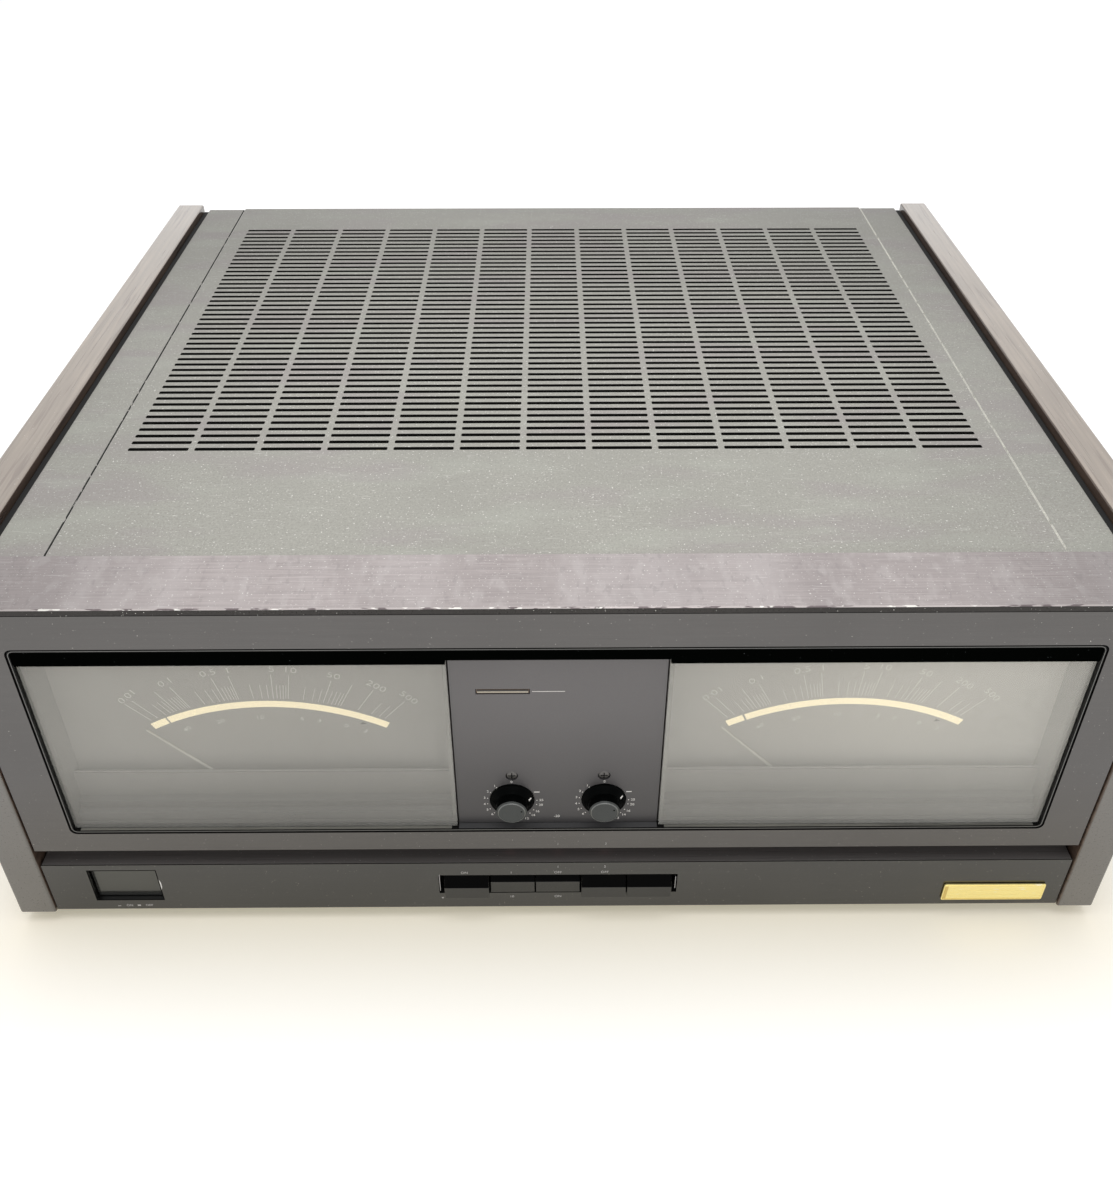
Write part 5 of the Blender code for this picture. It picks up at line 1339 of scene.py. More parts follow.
@dataclass
class ControlPlate:
    """Plate between the meters with its status lens, screws and printed marks."""

    screw_offset: float = 20.0 * MM
    screw_level: float = 93.0 * MM
    screw_radius: float = 2.5 * MM
    status_rim: float = 0.35 * MM
    status_share: float = 0.48
    print_rise: float = 0.04 * MM
    line_gap: float = 1.2 * MM
    line_length: float = 13.4 * MM
    line_half: float = 0.14 * MM
    level_mark: Flat = (-0.5 * MM, 67.2 * MM)
    level_size: float = 2.0 * MM
    scale_drop: float = 1.0 * MM
    digit_size: float = 1.9 * MM
    digit_radius: float = 12.3 * MM
    wide_step: float = 0.6 * MM
    dot_radius: float = 10.95 * MM
    dot_size: float = 0.25 * MM
    digits: tuple[tuple[float, str], ...] = (
        (0.0, "0"), (-37.0, "1"), (-59.0, "2"), (-79.0, "3"), (-98.0, "4"), (-116.0, "5"), (-133.0, "6"),
        (87.0, "25"), (101.0, "20"), (121.0, "16"), (135.0, "14"), (151.0, "12"))

    def __post_init__(self) -> None:
        """Reads the plate's face from the solids."""
        self.face_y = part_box("control_panel")[0].y

    def screws(self) -> None:
        """Makes the two cross-head screws that hold the plate."""
        solid = Solid()
        r = self.screw_radius
        for side in Side:
            move = facing(side.sign * self.screw_offset, self.face_y + 0.9 * MM, self.screw_level)
            profile = [(0.0, 0.85 * MM), (r * 0.55, 0.78 * MM), (r * 0.85, 0.55 * MM), (r, 0.2 * MM),
                       (r, -0.8 * MM), (0.0, -0.8 * MM)]
            solid.turned(profile, move, 32, SCREW_STEEL)
            solid.cross(r * 0.62, 0.22 * MM, 0.3 * MM, 0.87 * MM, move)
        solid.made("plate_screws", CHASSIS, "shaft_steel")

    def status(self) -> None:
        """Makes the status lens with its thin rim and the printed line beside it."""
        low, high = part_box("status_lens")
        solid = Solid()
        rim, parting = self.status_rim, low.z + self.status_share * (high.z - low.z)
        solid.prism(rounded_outline(low.x, high.x, low.z, high.z, rim, 3), Axis.Y, low.y + 0.25 * MM, high.y,
                    STATUS_FRAME)
        solid.block((low.x + rim, low.y + 0.1 * MM, parting), (high.x - rim, low.y + 0.4 * MM, high.z - rim),
                    STATUS_DARK)
        solid.block((low.x + rim, low.y, low.z + rim), (high.x - rim, low.y + 0.4 * MM, parting),
                    STATUS_CREAM)
        solid.made("status_window", CHASSIS, "lamp", ("status_lens",))
        line = Solid()
        start, level = high.x + self.line_gap, (low.z + high.z) / 2
        line.block((start, self.face_y - self.print_rise, level - self.line_half),
                   (start + self.line_length, self.face_y + SEAT, level + self.line_half), WHITE_PRINT)
        x, z = self.level_mark
        line.words("-20", self.level_size, facing(x, self.face_y - self.print_rise, z), WHITE_PRINT)
        line.made("status_print", CHASSIS, "control_plate")

    def knob_scale(self, side: Side) -> None:
        """Prints the plain scale around one knob.

        Args:
            side: Which knob.
        """
        x, _, z = centre_of(f"level_knob_{side.word}")
        z -= self.scale_drop
        y = self.face_y
        solid = Solid()
        place = facing(x, y, z)
        for turn, text in self.digits:
            angle = math.radians(turn)
            if turn:
                solid.prism(polygon(self.dot_size, 8, self.dot_radius), Axis.Z, -0.03 * MM, self.print_rise,
                            WHITE_PRINT, place @ Matrix.Rotation(-angle, 4, "Z"))
            radius = self.digit_radius + (self.wide_step if len(text) > 1 else 0.0)
            move = facing(x + radius * math.sin(angle), y - 0.01 * MM, z + radius * math.cos(angle))
            solid.words(text, self.digit_size, move, WHITE_PRINT)
        solid.block((x + 9.7 * MM, y - self.print_rise, z + 5.6 * MM),
                    (x + 12.1 * MM, y + 0.03 * MM, z + 6.1 * MM), WHITE_PRINT)
        solid.made(f"knob_scale_{side.word}", CHASSIS, "control_plate")

    def build(self) -> None:
        """Makes and dresses the whole plate."""
        dressed("control_panel", CONTROL_COAT, 0.25 * MM)
        dressed("control_carrier", PLATED_STEEL, 0.25 * MM)
        self.screws()
        self.status()
        for side in Side:
            self.knob_scale(side)


@dataclass
class LevelKnob:
    """One level knob with its pointer, cap and shaft."""

    side: Side
    turn: float
    skirt_radius: float = 9.0 * MM
    flange_radius: float = 9.8 * MM
    root_radius: float = 6.9 * MM
    tip_radius: float = 6.75 * MM
    cap_radius: float = 6.2 * MM
    length: float = 8.0 * MM
    sink: float = 1.0 * MM
    bore_radius: float = 3.3 * MM
    pointer_place: Place = (0.0, 7.75 * MM, 1.72 * MM)
    pointer_slope: float = math.atan2(2.05, 2.0)
    dot_reach: float = 4.4 * MM
    dot_radius: float = 0.42 * MM

    def build(self) -> None:
        """Makes the knob and dresses what carries it."""
        word = self.side.word
        x, _, z = centre_of(f"level_knob_{word}")
        move = facing(x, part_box(f"level_knob_{word}")[0].y + self.length, z, self.turn)
        solid = Solid()
        top = self.length
        profile = [
            (0.0, top - 0.04 * MM), (self.cap_radius - 0.55 * MM, top - 0.04 * MM),
            (self.cap_radius - 0.1 * MM, top - 0.35 * MM),
            (self.cap_radius, top - 0.5 * MM), (self.cap_radius + 0.1 * MM, top - 0.62 * MM),
            (self.tip_radius - 0.1 * MM, top - 0.62 * MM), (self.tip_radius, top - 0.8 * MM),
            (self.root_radius, 3.0 * MM), (self.root_radius + 0.35 * MM, 2.5 * MM),
            (self.skirt_radius - 0.25 * MM, 0.65 * MM), (self.skirt_radius, 0.5 * MM),
            (self.flange_radius, 0.42 * MM), (self.flange_radius, 0.1 * MM), (self.skirt_radius, 0.1 * MM),
            (self.skirt_radius, -self.sink), (self.bore_radius, -self.sink),
            (self.bore_radius, top - 2.0 * MM), (0.0, top - 2.0 * MM),
        ]
        bands = {**dict.fromkeys(range(6), KNOB_CAP), 1: KNOB_RIM}
        solid.turned(profile, move, 72, KNOB_BODY, bands)
        lean = Matrix.Rotation(-self.pointer_slope, 4, "X")
        mark = move @ Matrix.Translation(self.pointer_place) @ lean
        outline = [(-0.7 * MM, -1.5 * MM), (0.7 * MM, -1.5 * MM), (0.32 * MM, 1.3 * MM),
                   (-0.32 * MM, 1.3 * MM)]
        solid.prism(outline, Axis.Z, -0.3 * MM, 0.12 * MM, WHITE_PRINT, mark)
        dot = move @ Matrix.Translation((0.0, self.dot_reach, top - 0.05 * MM))
        r = self.dot_radius
        solid.turned([(0.0, 0.03 * MM), (r, 0.03 * MM), (r, -0.2 * MM), (0.0, -0.2 * MM)], dot, 16,
                     DEEP_BLACK)
        solid.made(f"pointer_knob_{word}", f"{word}_knob", "knob", (f"level_knob_{word}",))
        dressed(f"level_shaft_{word}", BRIGHT_STEEL)
        dressed(f"level_control_{word}", PLATED_STEEL, 0.2 * MM)


@dataclass
class Groove:
    """Three domed lamps in the smoked strip."""

    radius: float = 2.4 * MM

    def build(self) -> None:
        """Makes the lamps."""
        for number in range(1, 4):
            low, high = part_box(f"indicator_lamp_{number}")
            x, _, z = centre_of(f"indicator_lamp_{number}")
            move = facing(x, low.y, z)
            depth, r = high.y - low.y, self.radius
            profile = [(0.0, 0.0), (r * 0.4, -0.06 * MM), (r * 0.7, -0.25 * MM), (r * 0.92, -0.6 * MM),
                       (r, -1.1 * MM), (r, -depth), (0.0, -depth)]
            solid = Solid()
            solid.turned(profile, move, 32, LAMP_LENS)
            solid.made(f"domed_lamp_{number}", CHASSIS, "lamp", (f"indicator_lamp_{number}",))


@dataclass
class Keys:
    """Power key, the row of five push keys and the plain marks around them."""

    chamfer_depth: float = 4.0 * MM
    face_height: float = 7.4 * MM
    stem: float = 6.0 * MM
    cap_depth: float = 9.0 * MM
    power_stem: float = 8.0 * MM
    power_depth: float = 7.5 * MM
    pitch: float = 21.6 * MM
    print_lift: float = 0.01 * MM
    print_depth: float = 0.04 * MM
    type_size: float = 2.1 * MM
    type_above: float = 2.0 * MM
    type_below: float = 3.1 * MM
    line_step: float = 3.9 * MM
    upper_size: float = 1.8 * MM
    upper_level: float = 52.7 * MM
    power_type: float = 2.0 * MM
    frame_width: float = 0.45 * MM
    frame_gap: float = 0.1 * MM

    def stalk(self, solid: Solid, node: str, width: float, start: float) -> None:
        """Adds the square stalk that carries a key.

        Args:
            solid: The key's shapes.
            node: The key's solid.
            width: The stalk's width.
            start: Where the key's cap ends.
        """
        x, _, z = centre_of(node)
        half = width / 2
        solid.block((x - half, start, z - half), (x + half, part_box(node)[1].y, z + half), MOULDED_BLACK)

    def power(self) -> None:
        """Makes the power key."""
        low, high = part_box("power_button")
        solid = Solid()
        back = low.y + self.power_depth
        outline = rounded_outline(low.x, high.x, low.z, high.z, 0.7 * MM)
        solid.prism(outline, Axis.Y, low.y, back, POWER_FACE)
        self.stalk(solid, "power_button", self.power_stem, back)
        solid.made("power_key_cap", "power_key", "button", ("power_button",), 0.45 * MM, 3)
        dressed("power_switch", MOULDED_BLACK, 0.4 * MM)

    def push_key(self, number: int) -> None:
        """Makes one push key with its glossy chamfer.

        Args:
            number: From 1 on the left to 5.
        """
        node = f"push_button_{number}"
        low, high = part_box(node)
        solid = Solid()
        front, back = low.y, low.y + self.cap_depth
        profile = [(front, low.z), (back, low.z), (back, high.z), (front + self.chamfer_depth, high.z),
                   (front, low.z + self.face_height)]
        solid.prism(profile, Axis.X, low.x, high.x, KEY_FACE, bands={3: KEY_GLOSS})
        self.stalk(solid, node, self.stem, back)
        solid.made(f"push_key_{number}", f"key_{number}", "button", (node,), 0.3 * MM)

    def marks(self) -> None:
        """Prints the plain marks on both panels, a white painted glint beside the power key and a near-black
        frame round it, which is painted shadow of its gap.
        """
        solid = Solid()
        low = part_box("lower_panel")[0]
        y = low.y - self.print_lift
        front, back = y - self.print_lift, y + self.print_depth
        key_low, key_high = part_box("push_button_1")
        above, below = key_high.z + self.type_above, key_low.z - self.type_below
        upper = above + self.line_step
        for text, step, level in (("ON", -2, above), ("1", -1, above), ("OFF", 0, above), ("OFF", 1, above),
                                  ("OFF", -2, below), ("10", -1, below), ("ON", 0, below), ("ON", 1, below),
                                  ("1", 0, upper), ("2", 1, upper)):
            solid.words(text, self.type_size, facing(self.pitch * step, y, level), GREY_PRINT)
        for text, step in (("1", 0), ("2", 1)):
            solid.words(text, self.upper_size, facing(self.pitch * step, y, self.upper_level), GREY_PRINT)
        for x, bottom, top in ((-54.9 * MM, 20.2 * MM, 31.6 * MM), (54.6 * MM, 21.0 * MM, 29.5 * MM)):
            solid.block((x - 0.15 * MM, front, bottom), (x + 0.15 * MM, back, top), GREY_PRINT)
        solid.prism([(-54.7 * MM, 15.4 * MM), (-53.5 * MM, 15.4 * MM), (-54.1 * MM, 14.2 * MM)], Axis.Y,
                    front, back, GREY_PRINT)
        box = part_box("power_button")
        x = centre_of("power_button")[0]
        level = low.z + 2.5 * MM
        for text, shift in (("ON", -1.3 * MM), ("OFF", 7.9 * MM)):
            solid.words(text, self.power_type, facing(x + shift, y, level), GREY_PRINT)
        for shift, rise in ((-6.2 * MM, 0.4 * MM), (3.1 * MM, 1.0 * MM)):
            bottom = level - 0.5 * MM
            solid.block((x + shift - 0.75 * MM, front, bottom),
                        (x + shift + 0.75 * MM, y + 0.03 * MM, bottom + rise), GREY_PRINT)
        # A white sliver beside the power key: a painted glint.
        edge = box[1].x + 0.6 * MM
        glint = [(edge, 22.0 * MM), (edge + 0.5 * MM, 24.0 * MM), (edge + 0.6 * MM, 27.0 * MM),
                 (edge, 29.4 * MM)]
        solid.prism(glint, Axis.Y, front, back, WHITE_PRINT)
        # A near-black frame round the power key: painted shadow of the gap.
        w, gap = self.frame_width, self.frame_gap
        x0, x1, z0, z1 = box[0].x - gap, box[1].x + gap, box[0].z - gap, box[1].z + gap
        for left, right, bottom, top in ((x0 - w, x0, z0 - w, z1 + w), (x1, x1 + w, z0 - w, z1 + w),
                                         (x0, x1, z0 - w, z0), (x0, x1, z1, z1 + w)):
            solid.block((left, y, bottom), (right, low.y + 0.1 * MM, top), DEEP_BLACK)
        solid.made("key_marks", CHASSIS, "front_panel")

    def build(self) -> None:
        """Makes every key and its marks."""
        self.power()
        for number in range(1, 6):
            self.push_key(number)
        dressed("switch_bank", MOULDED_BLACK, 0.4 * MM)
        self.marks()


@dataclass
class NamePlate:
    """Bare gold plate."""

    frame_width: float = 0.5 * MM
    lip: float = 0.15 * MM
    corner: float = 0.8 * MM

    def build(self) -> None:
        """Makes the plate with a thin raised border, whose lower and left strips are darker as painted shade.
        """
        low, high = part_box("name_plate")
        solid = Solid()
        outline = rounded_outline(low.x, high.x, low.z, high.z, self.corner)
        solid.prism(outline, Axis.Y, low.y + self.lip, high.y, GOLD_FOIL)
        w = self.frame_width
        for x0, x1, z0, z1, finish in (
                (low.x + w, high.x - w, low.z + w, low.z + 2 * w, GOLD_SHADED),
                (low.x + w, high.x - w, high.z - 2 * w, high.z - w, GOLD_FOIL),
                (low.x + w, low.x + 4 * w, low.z + 2 * w, high.z - 2 * w, GOLD_SHADED),
                (high.x - 2 * w, high.x - w, low.z + 2 * w, high.z - 2 * w, GOLD_FOIL)):
            solid.block((x0, low.y, z0), (x1, low.y + 2 * self.lip, z1), finish)
        solid.made("gold_plate", CHASSIS, "name_plate", ("name_plate",), 0.12 * MM)


@dataclass
class Cheek:
    """One glossy wood side cheek."""

    side: Side
    corner: float = 1.6 * MM
    edge: float = 1.0 * MM
    facing_share: float = 0.6

    def build(self) -> None:
        """Makes the cheek with rounded edges, a lighter top as painted sheen and a lighter front end that
        darkens downwards as painted shade.
        """
        node = f"side_cheek_{self.side.word}"
        low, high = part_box(node)
        solid = Solid()
        outline = rounded_outline(low.y, high.y, low.z, high.z, self.corner)
        solid.prism(outline, Axis.X, low.x, high.x, GLOSSY_WOOD)
        solid.bm.normal_update()
        for aim, finish in (((0.0, 0.0, 1.0), CHEEK_TOP_SHEEN), ((0.0, -1.0, 0.0), LACQUERED_END)):
            solid.paint([face for face in solid.bm.faces if face.normal.dot(aim) > self.facing_share], finish)
        solid.made(f"wood_cheek_{self.side.word}", CHASSIS, "cheek", (node,), self.edge, 3)


@dataclass
class Case:
    """Sheet steel case, its feet and screws."""

    foot_radius: float = 22.0 * MM
    screw_radius: float = 3.4 * MM
    screw_turn: float = 20.0
    rear_screws_x: tuple[float, ...] = (-215.0, -108.0, 0.0, 108.0, 215.0)
    rear_screws_z: tuple[float, ...] = (22.0, 172.0)
    base_screws_x: tuple[float, ...] = (-210.0, -70.0, 70.0, 210.0)
    base_screws_y: tuple[float, ...] = (-195.0, 0.0, 205.0)

    def foot(self, number: int) -> None:
        """Makes one rubber foot.

        Args:
            number: From 1 to 4.
        """
        x, y, _ = centre_of(f"foot_{number}")
        move = Matrix.Translation((x, y, 0.0))
        r, top = self.foot_radius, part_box(f"foot_{number}")[1].z
        profile = [(0.0, 4.0 * MM), (5.5 * MM, 4.0 * MM), (5.8 * MM, 0.6 * MM), (6.4 * MM, 0.0),
                   (r - 3.4 * MM, 0.0), (r - 2.2 * MM, 0.5 * MM), (r - 1.6 * MM, 1.6 * MM),
                   (r - 0.3 * MM, top - 0.8 * MM), (r, top - 0.3 * MM), (r - 0.2 * MM, top), (0.0, top)]
        solid = Solid()
        solid.turned(profile, move, 56, RUBBER)
        head = [(0.0, 2.9 * MM), (3.2 * MM, 3.2 * MM), (3.9 * MM, 4.2 * MM), (0.0, 4.6 * MM)]
        solid.turned(head, move, 28, SCREW_STEEL)
        solid.made(f"rubber_foot_{number}", CHASSIS, "foot", (f"foot_{number}",))

    def screw(self, solid: Solid, move: Matrix) -> None:
        """Adds one pan-head screw.

        Args:
            solid: What it goes into.
            move: Its place, with Z out of the surface.
        """
        r = self.screw_radius
        profile = [(0.0, 1.9 * MM), (r * 0.5, 1.8 * MM), (r * 0.85, 1.3 * MM), (r, 0.6 * MM), (r, -0.4 * MM),
                   (0.0, -0.4 * MM)]
        solid.turned(profile, move, 28, SCREW_STEEL)
        solid.cross(r * 0.6, 0.3 * MM, 1.0 * MM, 1.93 * MM,
                    move @ Matrix.Rotation(math.radians(self.screw_turn), 4, "Z"))

    def screws(self) -> None:
        """Makes the screws of the rear panel and the bottom plate."""
        solid = Solid()
        rear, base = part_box("rear_panel")[1].y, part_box("bottom_plate")[0].z
        for x in self.rear_screws_x:
            for z in self.rear_screws_z:
                self.screw(solid, backing(x * MM, rear, z * MM))
        for x in self.base_screws_x:
            for y in self.base_screws_y:
                move = Matrix.Translation((x * MM, y * MM, base)) @ Matrix.Rotation(math.pi, 4, "X")
                self.screw(solid, move)
        solid.made("case_screws", CHASSIS, "shaft_steel")

    def build(self) -> None:
        """Makes the feet and screws and dresses the sheets."""
        for node in ("bottom_plate", "rear_panel"):
            dressed(node, PLATED_STEEL, 0.3 * MM)
        for node in ("side_frame_left", "side_frame_right", "sub_chassis"):
            dressed(node, INNER_BLACK, 0.3 * MM)
        for number in range(1, 5):
            self.foot(number)
        self.screws()


@dataclass
class Amplifier:
    """One channel inside the case: heat sink, board and its parts."""

    side: Side
    transistors: int = 6
    transistor_depth: float = 5.0 * MM
    transistor_half: Flat = (8.0 * MM, 10.0 * MM)
    board_thick: float = 1.6 * MM
    cans: int = 3
    can_radius: float = 9.0 * MM
    small_parts: int = 46
    clear_half: float = 15.0 * MM
    seed: int = 7

    def board(self) -> None:
        """Makes the board with transistors, cans and small parts."""
        node = f"amplifier_board_{self.side.word}"
        low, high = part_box(node)
        sign = self.side.sign
        outer, reach = (high.x, low.x) if sign > 0 else (-low.x, -high.x)
        back = outer - self.transistor_depth
        inner = back - self.board_thick

        def slab(near: float, far: float, start: Flat, end: Flat, finish: Finish) -> None:
            """Adds a block between two distances from the middle on this side.

            Args:
                near: The nearer distance.
                far: The farther one.
                start: Lowest (y, z).
                end: Highest (y, z).
                finish: Its finish.
            """
            x0, x1 = sorted((sign * near, sign * far))
            solid.block((x0, *start), (x1, *end), finish)

        solid = Solid()
        slab(inner, back, (low.y, low.z), (high.y, high.z), BOARD_RESIN)
        length = high.y - low.y
        middle = (low.z + high.z) / 2
        half_y, half_z = self.transistor_half
        for number in range(self.transistors):
            y = low.y + length * (number + 0.5) / self.transistors
            slab(back, outer, (y - half_y, middle - half_z), (y + half_y, middle + half_z), MOULDED_BLACK)
        turn = Matrix.Rotation(-sign * math.pi / 2, 4, "Y")
        r, tall = self.can_radius, inner - abs(reach)
        profile = [(0.0, -0.3 * MM), (r, -0.3 * MM), (r, tall - 1.0 * MM), (r - 0.8 * MM, tall - 0.2 * MM),
                   (r - 1.2 * MM, tall - 0.4 * MM), (0.0, tall - 0.4 * MM)]
        for number in range(self.cans):
            y = low.y + length * (number + 0.5) / self.cans
            move = Matrix.Translation((sign * inner, y, middle)) @ turn
            solid.turned(profile, move, 36, CAN_SLEEVE, {3: BRIGHT_STEEL, 4: BRIGHT_STEEL})
        chance = random.Random(self.seed)
        for _ in range(self.small_parts):
            y = chance.uniform(low.y + 6.0 * MM, high.y - 6.0 * MM)
            z = chance.uniform(low.z + 8.0 * MM, high.z - 6.0 * MM)
            if abs(z - middle) < self.clear_half:
                z = high.z - 8.0 * MM - chance.uniform(0.0, 14.0) * MM
            finish = chance.choice((COPPER, GOLD_FOIL, RED_CAP, WHITE_CAP, CAN_SLEEVE))
            tall, r = chance.uniform(4.0, 11.0) * MM, chance.uniform(1.3, 2.6) * MM
            move = Matrix.Translation((sign * inner, y, z)) @ turn
            profile = [(0.0, -0.2 * MM), (r, -0.2 * MM), (r, tall - 0.4 * MM), (r - 0.4 * MM, tall),
                       (0.0, tall)]
            solid.turned(profile, move, 12, finish)
        solid.made(f"filled_board_{self.side.word}", CHASSIS, "circuit_board", (node,))

    def build(self) -> None:
        """Dresses the heat sink and makes the board."""
        dressed(f"heat_sink_{self.side.word}", SINK_BLACK, 0.25 * MM)
        self.board()


@dataclass
class PowerSupply:
    """Transformer can, terminal board and the two reservoir capacitors."""

    flange: float = 4.0 * MM
    shoulder: float = 7.0 * MM
    shoulder_steps: int = 6
    bolt_radius: float = 6.5 * MM
    terminal_offset: float = 11.0 * MM
    pins: int = 16
    board_x: float = -88.0 * MM
    board_top: float = 164.0 * MM
    board_front: float = 118.0 * MM
    board_back: float = 292.0 * MM

    def transformer(self) -> None:
        """Makes the transformer can with its rolled rim and bolts."""
        low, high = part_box("transformer")
        x, y, _ = centre_of("transformer")
        top, r, bend = high.z - low.z, (high.x - low.x) / 2 - self.flange, self.shoulder
        move = Matrix.Translation((x, y, low.z))
        turns = [math.pi / 2 * step / self.shoulder_steps for step in range(1, self.shoulder_steps + 1)]
        arc = [(r + bend * (math.sin(turn) - 1.0), top + bend * (math.cos(turn) - 1.0)) for turn in turns]
        profile = [(0.0, top - 5.0 * MM), (14.5 * MM, top - 5.0 * MM), (16.0 * MM, top - 3.5 * MM),
                   (17.0 * MM, top - 0.6 * MM), (18.5 * MM, top), (r - bend, top), *arc,
                   (r, 26.0 * MM), (r - 0.5 * MM, 25.2 * MM), (r - 0.5 * MM, 24.4 * MM), (r, 23.6 * MM),
                   (r, 4.0 * MM), (r + 1.0 * MM, 3.0 * MM), (r + self.flange - 0.4 * MM, 3.0 * MM),
                   (r + self.flange, 2.6 * MM), (r + self.flange, 0.0), (0.0, 0.0)]
        solid = Solid()
        solid.turned(profile, move, 96, CAN_BLACK)
        bolt = move @ Matrix.Translation((0.0, 0.0, top - 5.0 * MM))
        solid.prism(polygon(self.bolt_radius, 6), Axis.Z, -0.5 * MM, 4.2 * MM, BRIGHT_STEEL, bolt)
        solid.made("transformer_can", CHASSIS, "chassis", ("transformer",))

    def reservoir(self, side: Side) -> None:
        """Makes one reservoir capacitor with its screw terminals.

        Args:
            side: Which one.
        """
        node = f"reservoir_capacitor_{side.word}"
        low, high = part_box(node)
        x, y, _ = centre_of(node)
        r, top = (high.x - low.x) / 2, high.z - low.z
        move = Matrix.Translation((x, y, low.z))
        profile = [(0.0, top - 2.5 * MM), (r - 3.0 * MM, top - 2.5 * MM), (r - 2.5 * MM, top - 0.4 * MM),
                   (r - 1.6 * MM, top), (r - 0.5 * MM, top - 0.4 * MM), (r, top - 1.4 * MM),
                   (r, top - 9.0 * MM), (r - 0.8 * MM, top - 10.0 * MM), (r - 0.8 * MM, top - 11.4 * MM),
                   (r, top - 12.4 * MM), (r, 2.0 * MM), (r - 2.0 * MM, 0.0), (0.0, 0.0)]
        solid = Solid()
        solid.turned(profile, move, 72, CAN_SLEEVE, {0: MOULDED_BLACK, 1: BRIGHT_STEEL, 2: BRIGHT_STEEL})
        for shift in (-self.terminal_offset, self.terminal_offset):
            post = move @ Matrix.Translation((0.0, shift, top - 2.5 * MM))
            shape = [(0.0, -0.4 * MM), (5.5 * MM, -0.4 * MM), (5.5 * MM, 0.9 * MM), (3.9 * MM, 1.0 * MM),
                     (3.9 * MM, 2.3 * MM), (0.0, 2.4 * MM)]
            solid.turned(shape, post, 24, BRIGHT_STEEL)
        solid.made(f"sleeved_can_{side.word}", CHASSIS, "can_sleeve", (node,))

    def terminal_board(self) -> None:
        """Makes the upright board with its row of brass pins, whose glow is a painted glint through the
        slots.
        """
        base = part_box("transformer")[0].z
        front, back = FACE + self.board_front, FACE + self.board_back
        x, top = self.board_x, self.board_top
        solid = Solid()
        solid.block((x - 0.8 * MM, front, base + 0.1 * MM), (x + 0.8 * MM, back, top), BOARD_RESIN)
        solid.block((x - 4.0 * MM, front, base + 0.1 * MM), (x + 4.0 * MM, back, base + 1.6 * MM),
                    INNER_BLACK)
        for number in range(self.pins):
            y = front + (back - front) * (number + 0.5) / self.pins
            move = Matrix.Translation((x, y, top - 0.5 * MM))
            solid.turned([(0.0, -0.5 * MM), (1.6 * MM, -0.5 * MM), (1.6 * MM, 2.6 * MM), (1.1 * MM, 3.2 * MM),
                          (0.0, 3.4 * MM)], move, 12, BRASS_GLINT)
        solid.made("terminal_board", CHASSIS, "circuit_board")

    def build(self) -> None:
        """Makes the whole supply."""
        self.transformer()
        self.terminal_board()
        for side in Side:
            self.reservoir(side)


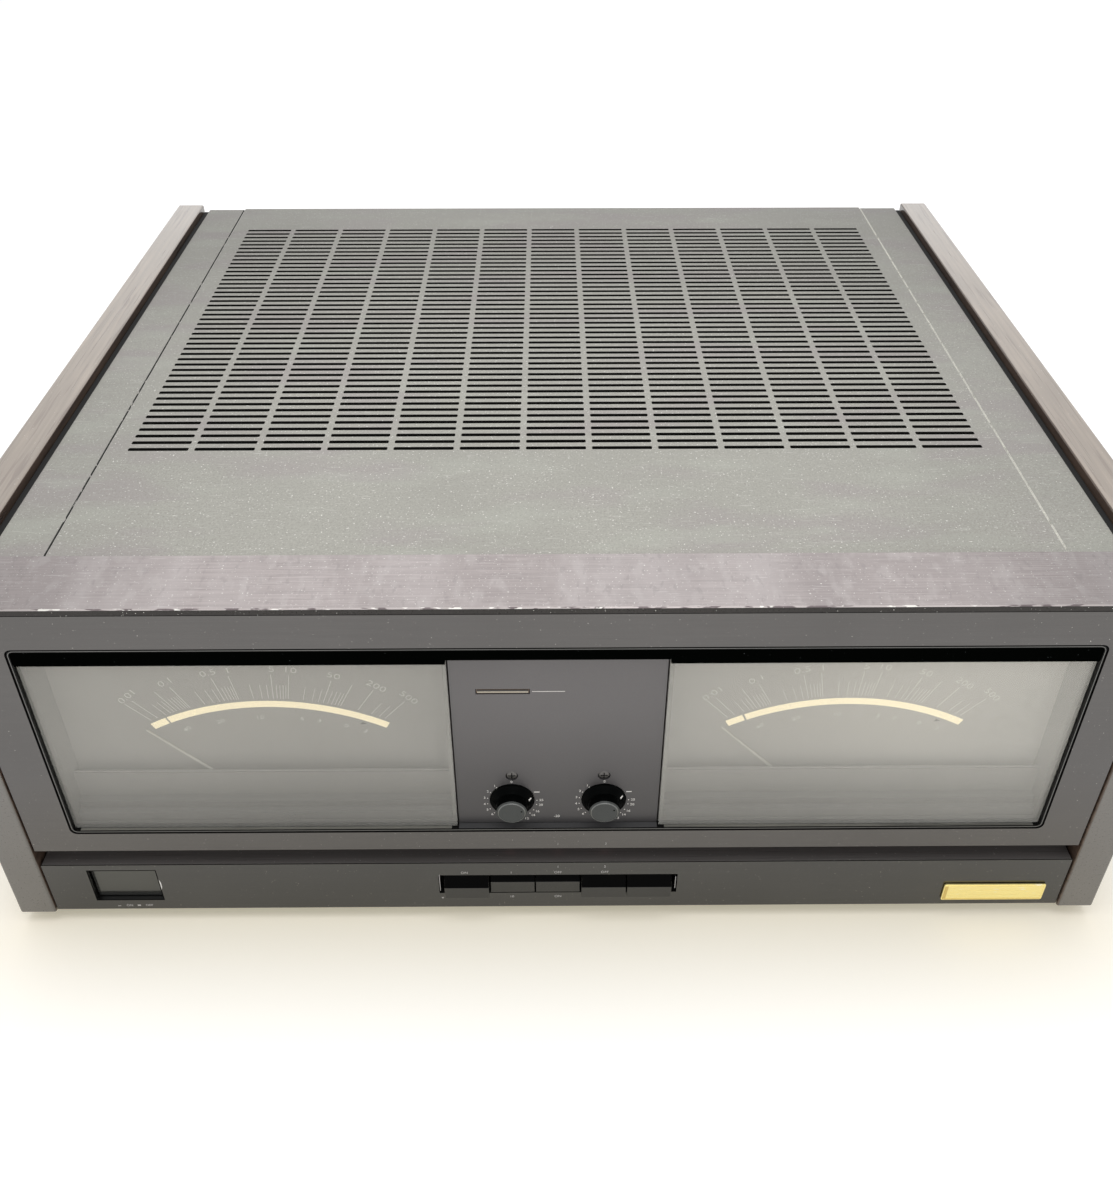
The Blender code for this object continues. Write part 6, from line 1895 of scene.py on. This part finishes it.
@dataclass
class Rear:
    """Speaker terminals, input jacks and mains bushing."""

    panel_gap: float = 0.3 * MM
    post_pitch: float = 20.0 * MM
    posts: int = 4
    block_thick: float = 4.0 * MM
    neck_half: Flat = (31.0 * MM, 11.0 * MM)
    jack_offset: float = 13.0 * MM
    jack_plate: float = 2.5 * MM

    def terminals(self, side: Side) -> None:
        """Makes one block of four binding posts.

        Args:
            side: Which channel.
        """
        node = f"speaker_terminals_{side.word}"
        low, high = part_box(node)
        x, _, z = centre_of(node)
        half_x, half_z = self.neck_half
        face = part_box("rear_panel")[1].y + self.panel_gap
        solid = Solid()
        solid.prism(rounded_outline(low.x, high.x, low.z, high.z, 2.5 * MM, 5), Axis.Y, face,
                    face + self.block_thick, MOULDED_BLACK)
        solid.block((x - half_x, low.y, z - half_z), (x + half_x, face, z + half_z), MOULDED_BLACK)
        solid.made(f"terminal_block_{side.word}", CHASSIS, "black_plastic", (node,), 0.6 * MM, 3)
        posts = Solid()
        for number in range(self.posts):
            shift = self.post_pitch * (number - (self.posts - 1) / 2)
            move = backing(x + shift, face + self.block_thick, z)
            cap = RED_CAP if number % 2 == 0 else MOULDED_BLACK
            collar = [(0.0, -0.3 * MM), (7.5 * MM, -0.3 * MM), (7.5 * MM, 2.4 * MM), (6.9 * MM, 3.0 * MM),
                      (3.0 * MM, 3.0 * MM), (3.0 * MM, 7.2 * MM), (0.0, 7.2 * MM)]
            posts.turned(collar, move, 40, cap, {4: BRIGHT_STEEL, 5: BRIGHT_STEEL})
            grip = [(0.0, 7.0 * MM), (5.6 * MM, 7.0 * MM), (6.5 * MM, 7.8 * MM), (6.5 * MM, 18.6 * MM),
                    (5.0 * MM, 20.0 * MM), (0.0, 20.0 * MM)]
            posts.turned(grip, move, 80, cap, None, (20, 0.45 * MM))
        posts.made(f"binding_posts_{side.word}", CHASSIS, "black_plastic")

    def jacks(self) -> None:
        """Makes the pair of input jacks."""
        low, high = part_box("input_jacks")
        x, _, z = centre_of("input_jacks")
        solid = Solid()
        front = low.y + self.jack_plate
        solid.prism(rounded_outline(low.x, high.x, low.z, high.z, 2.0 * MM, 5), Axis.Y, low.y, front,
                    MOULDED_BLACK)
        for shift, ring in ((-self.jack_offset, WHITE_CAP), (self.jack_offset, RED_CAP)):
            move = backing(x + shift, front, z)
            shell = [(0.0, 0.4 * MM), (1.7 * MM, 0.4 * MM), (1.7 * MM, 9.0 * MM), (3.6 * MM, 9.0 * MM),
                     (4.0 * MM, 8.6 * MM), (4.2 * MM, 8.0 * MM), (4.2 * MM, 1.8 * MM), (6.2 * MM, 1.6 * MM),
                     (6.5 * MM, 1.2 * MM), (6.5 * MM, -0.3 * MM), (0.0, -0.3 * MM)]
            solid.turned(shell, move, 48, BRIGHT_STEEL, {2: ring, 6: ring, 7: ring, 8: ring})
        solid.made("phono_jacks", CHASSIS, "black_plastic", ("input_jacks",))

    def bushing(self) -> None:
        """Makes the bushing where the mains cord leaves."""
        x, _, z = centre_of("mains_bushing")
        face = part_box("rear_panel")[1].y + self.panel_gap
        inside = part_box("mains_bushing")[0].y - face
        move = backing(x, face, z)
        profile = [(0.0, inside), (7.0 * MM, inside), (7.0 * MM, 0.0), (9.6 * MM, 0.0),
                   (10.0 * MM, 0.5 * MM), (10.0 * MM, 4.4 * MM), (9.4 * MM, 5.5 * MM), (8.2 * MM, 6.0 * MM),
                   (4.0 * MM, 6.0 * MM), (3.5 * MM, 5.4 * MM), (3.5 * MM, 4.0 * MM), (0.0, 4.0 * MM)]
        solid = Solid()
        solid.turned(profile, move, 48, RUBBER)
        solid.made("cord_bushing", CHASSIS, "foot", ("mains_bushing",))

    def build(self) -> None:
        """Makes every connector."""
        for side in Side:
            self.terminals(side)
        self.jacks()
        self.bushing()


def main() -> None:
    """Builds the studio and dresses the amplifier part by part."""
    logging.basicConfig(level=logging.INFO, format="%(name)s: %(message)s")
    Studio().build()
    Cover().build()
    FrontPanels().build()
    Window().build()
    for side in Side:
        Meter(side).build()
    ControlPlate().build()
    LevelKnob(Side.LEFT, 77.0).build()
    LevelKnob(Side.RIGHT, 70.0).build()
    Groove().build()
    Keys().build()
    NamePlate().build()
    Case().build()
    for side in Side:
        Cheek(side).build()
        Amplifier(side).build()
    PowerSupply().build()
    Rear().build()


if __name__ == "__main__":
    main()
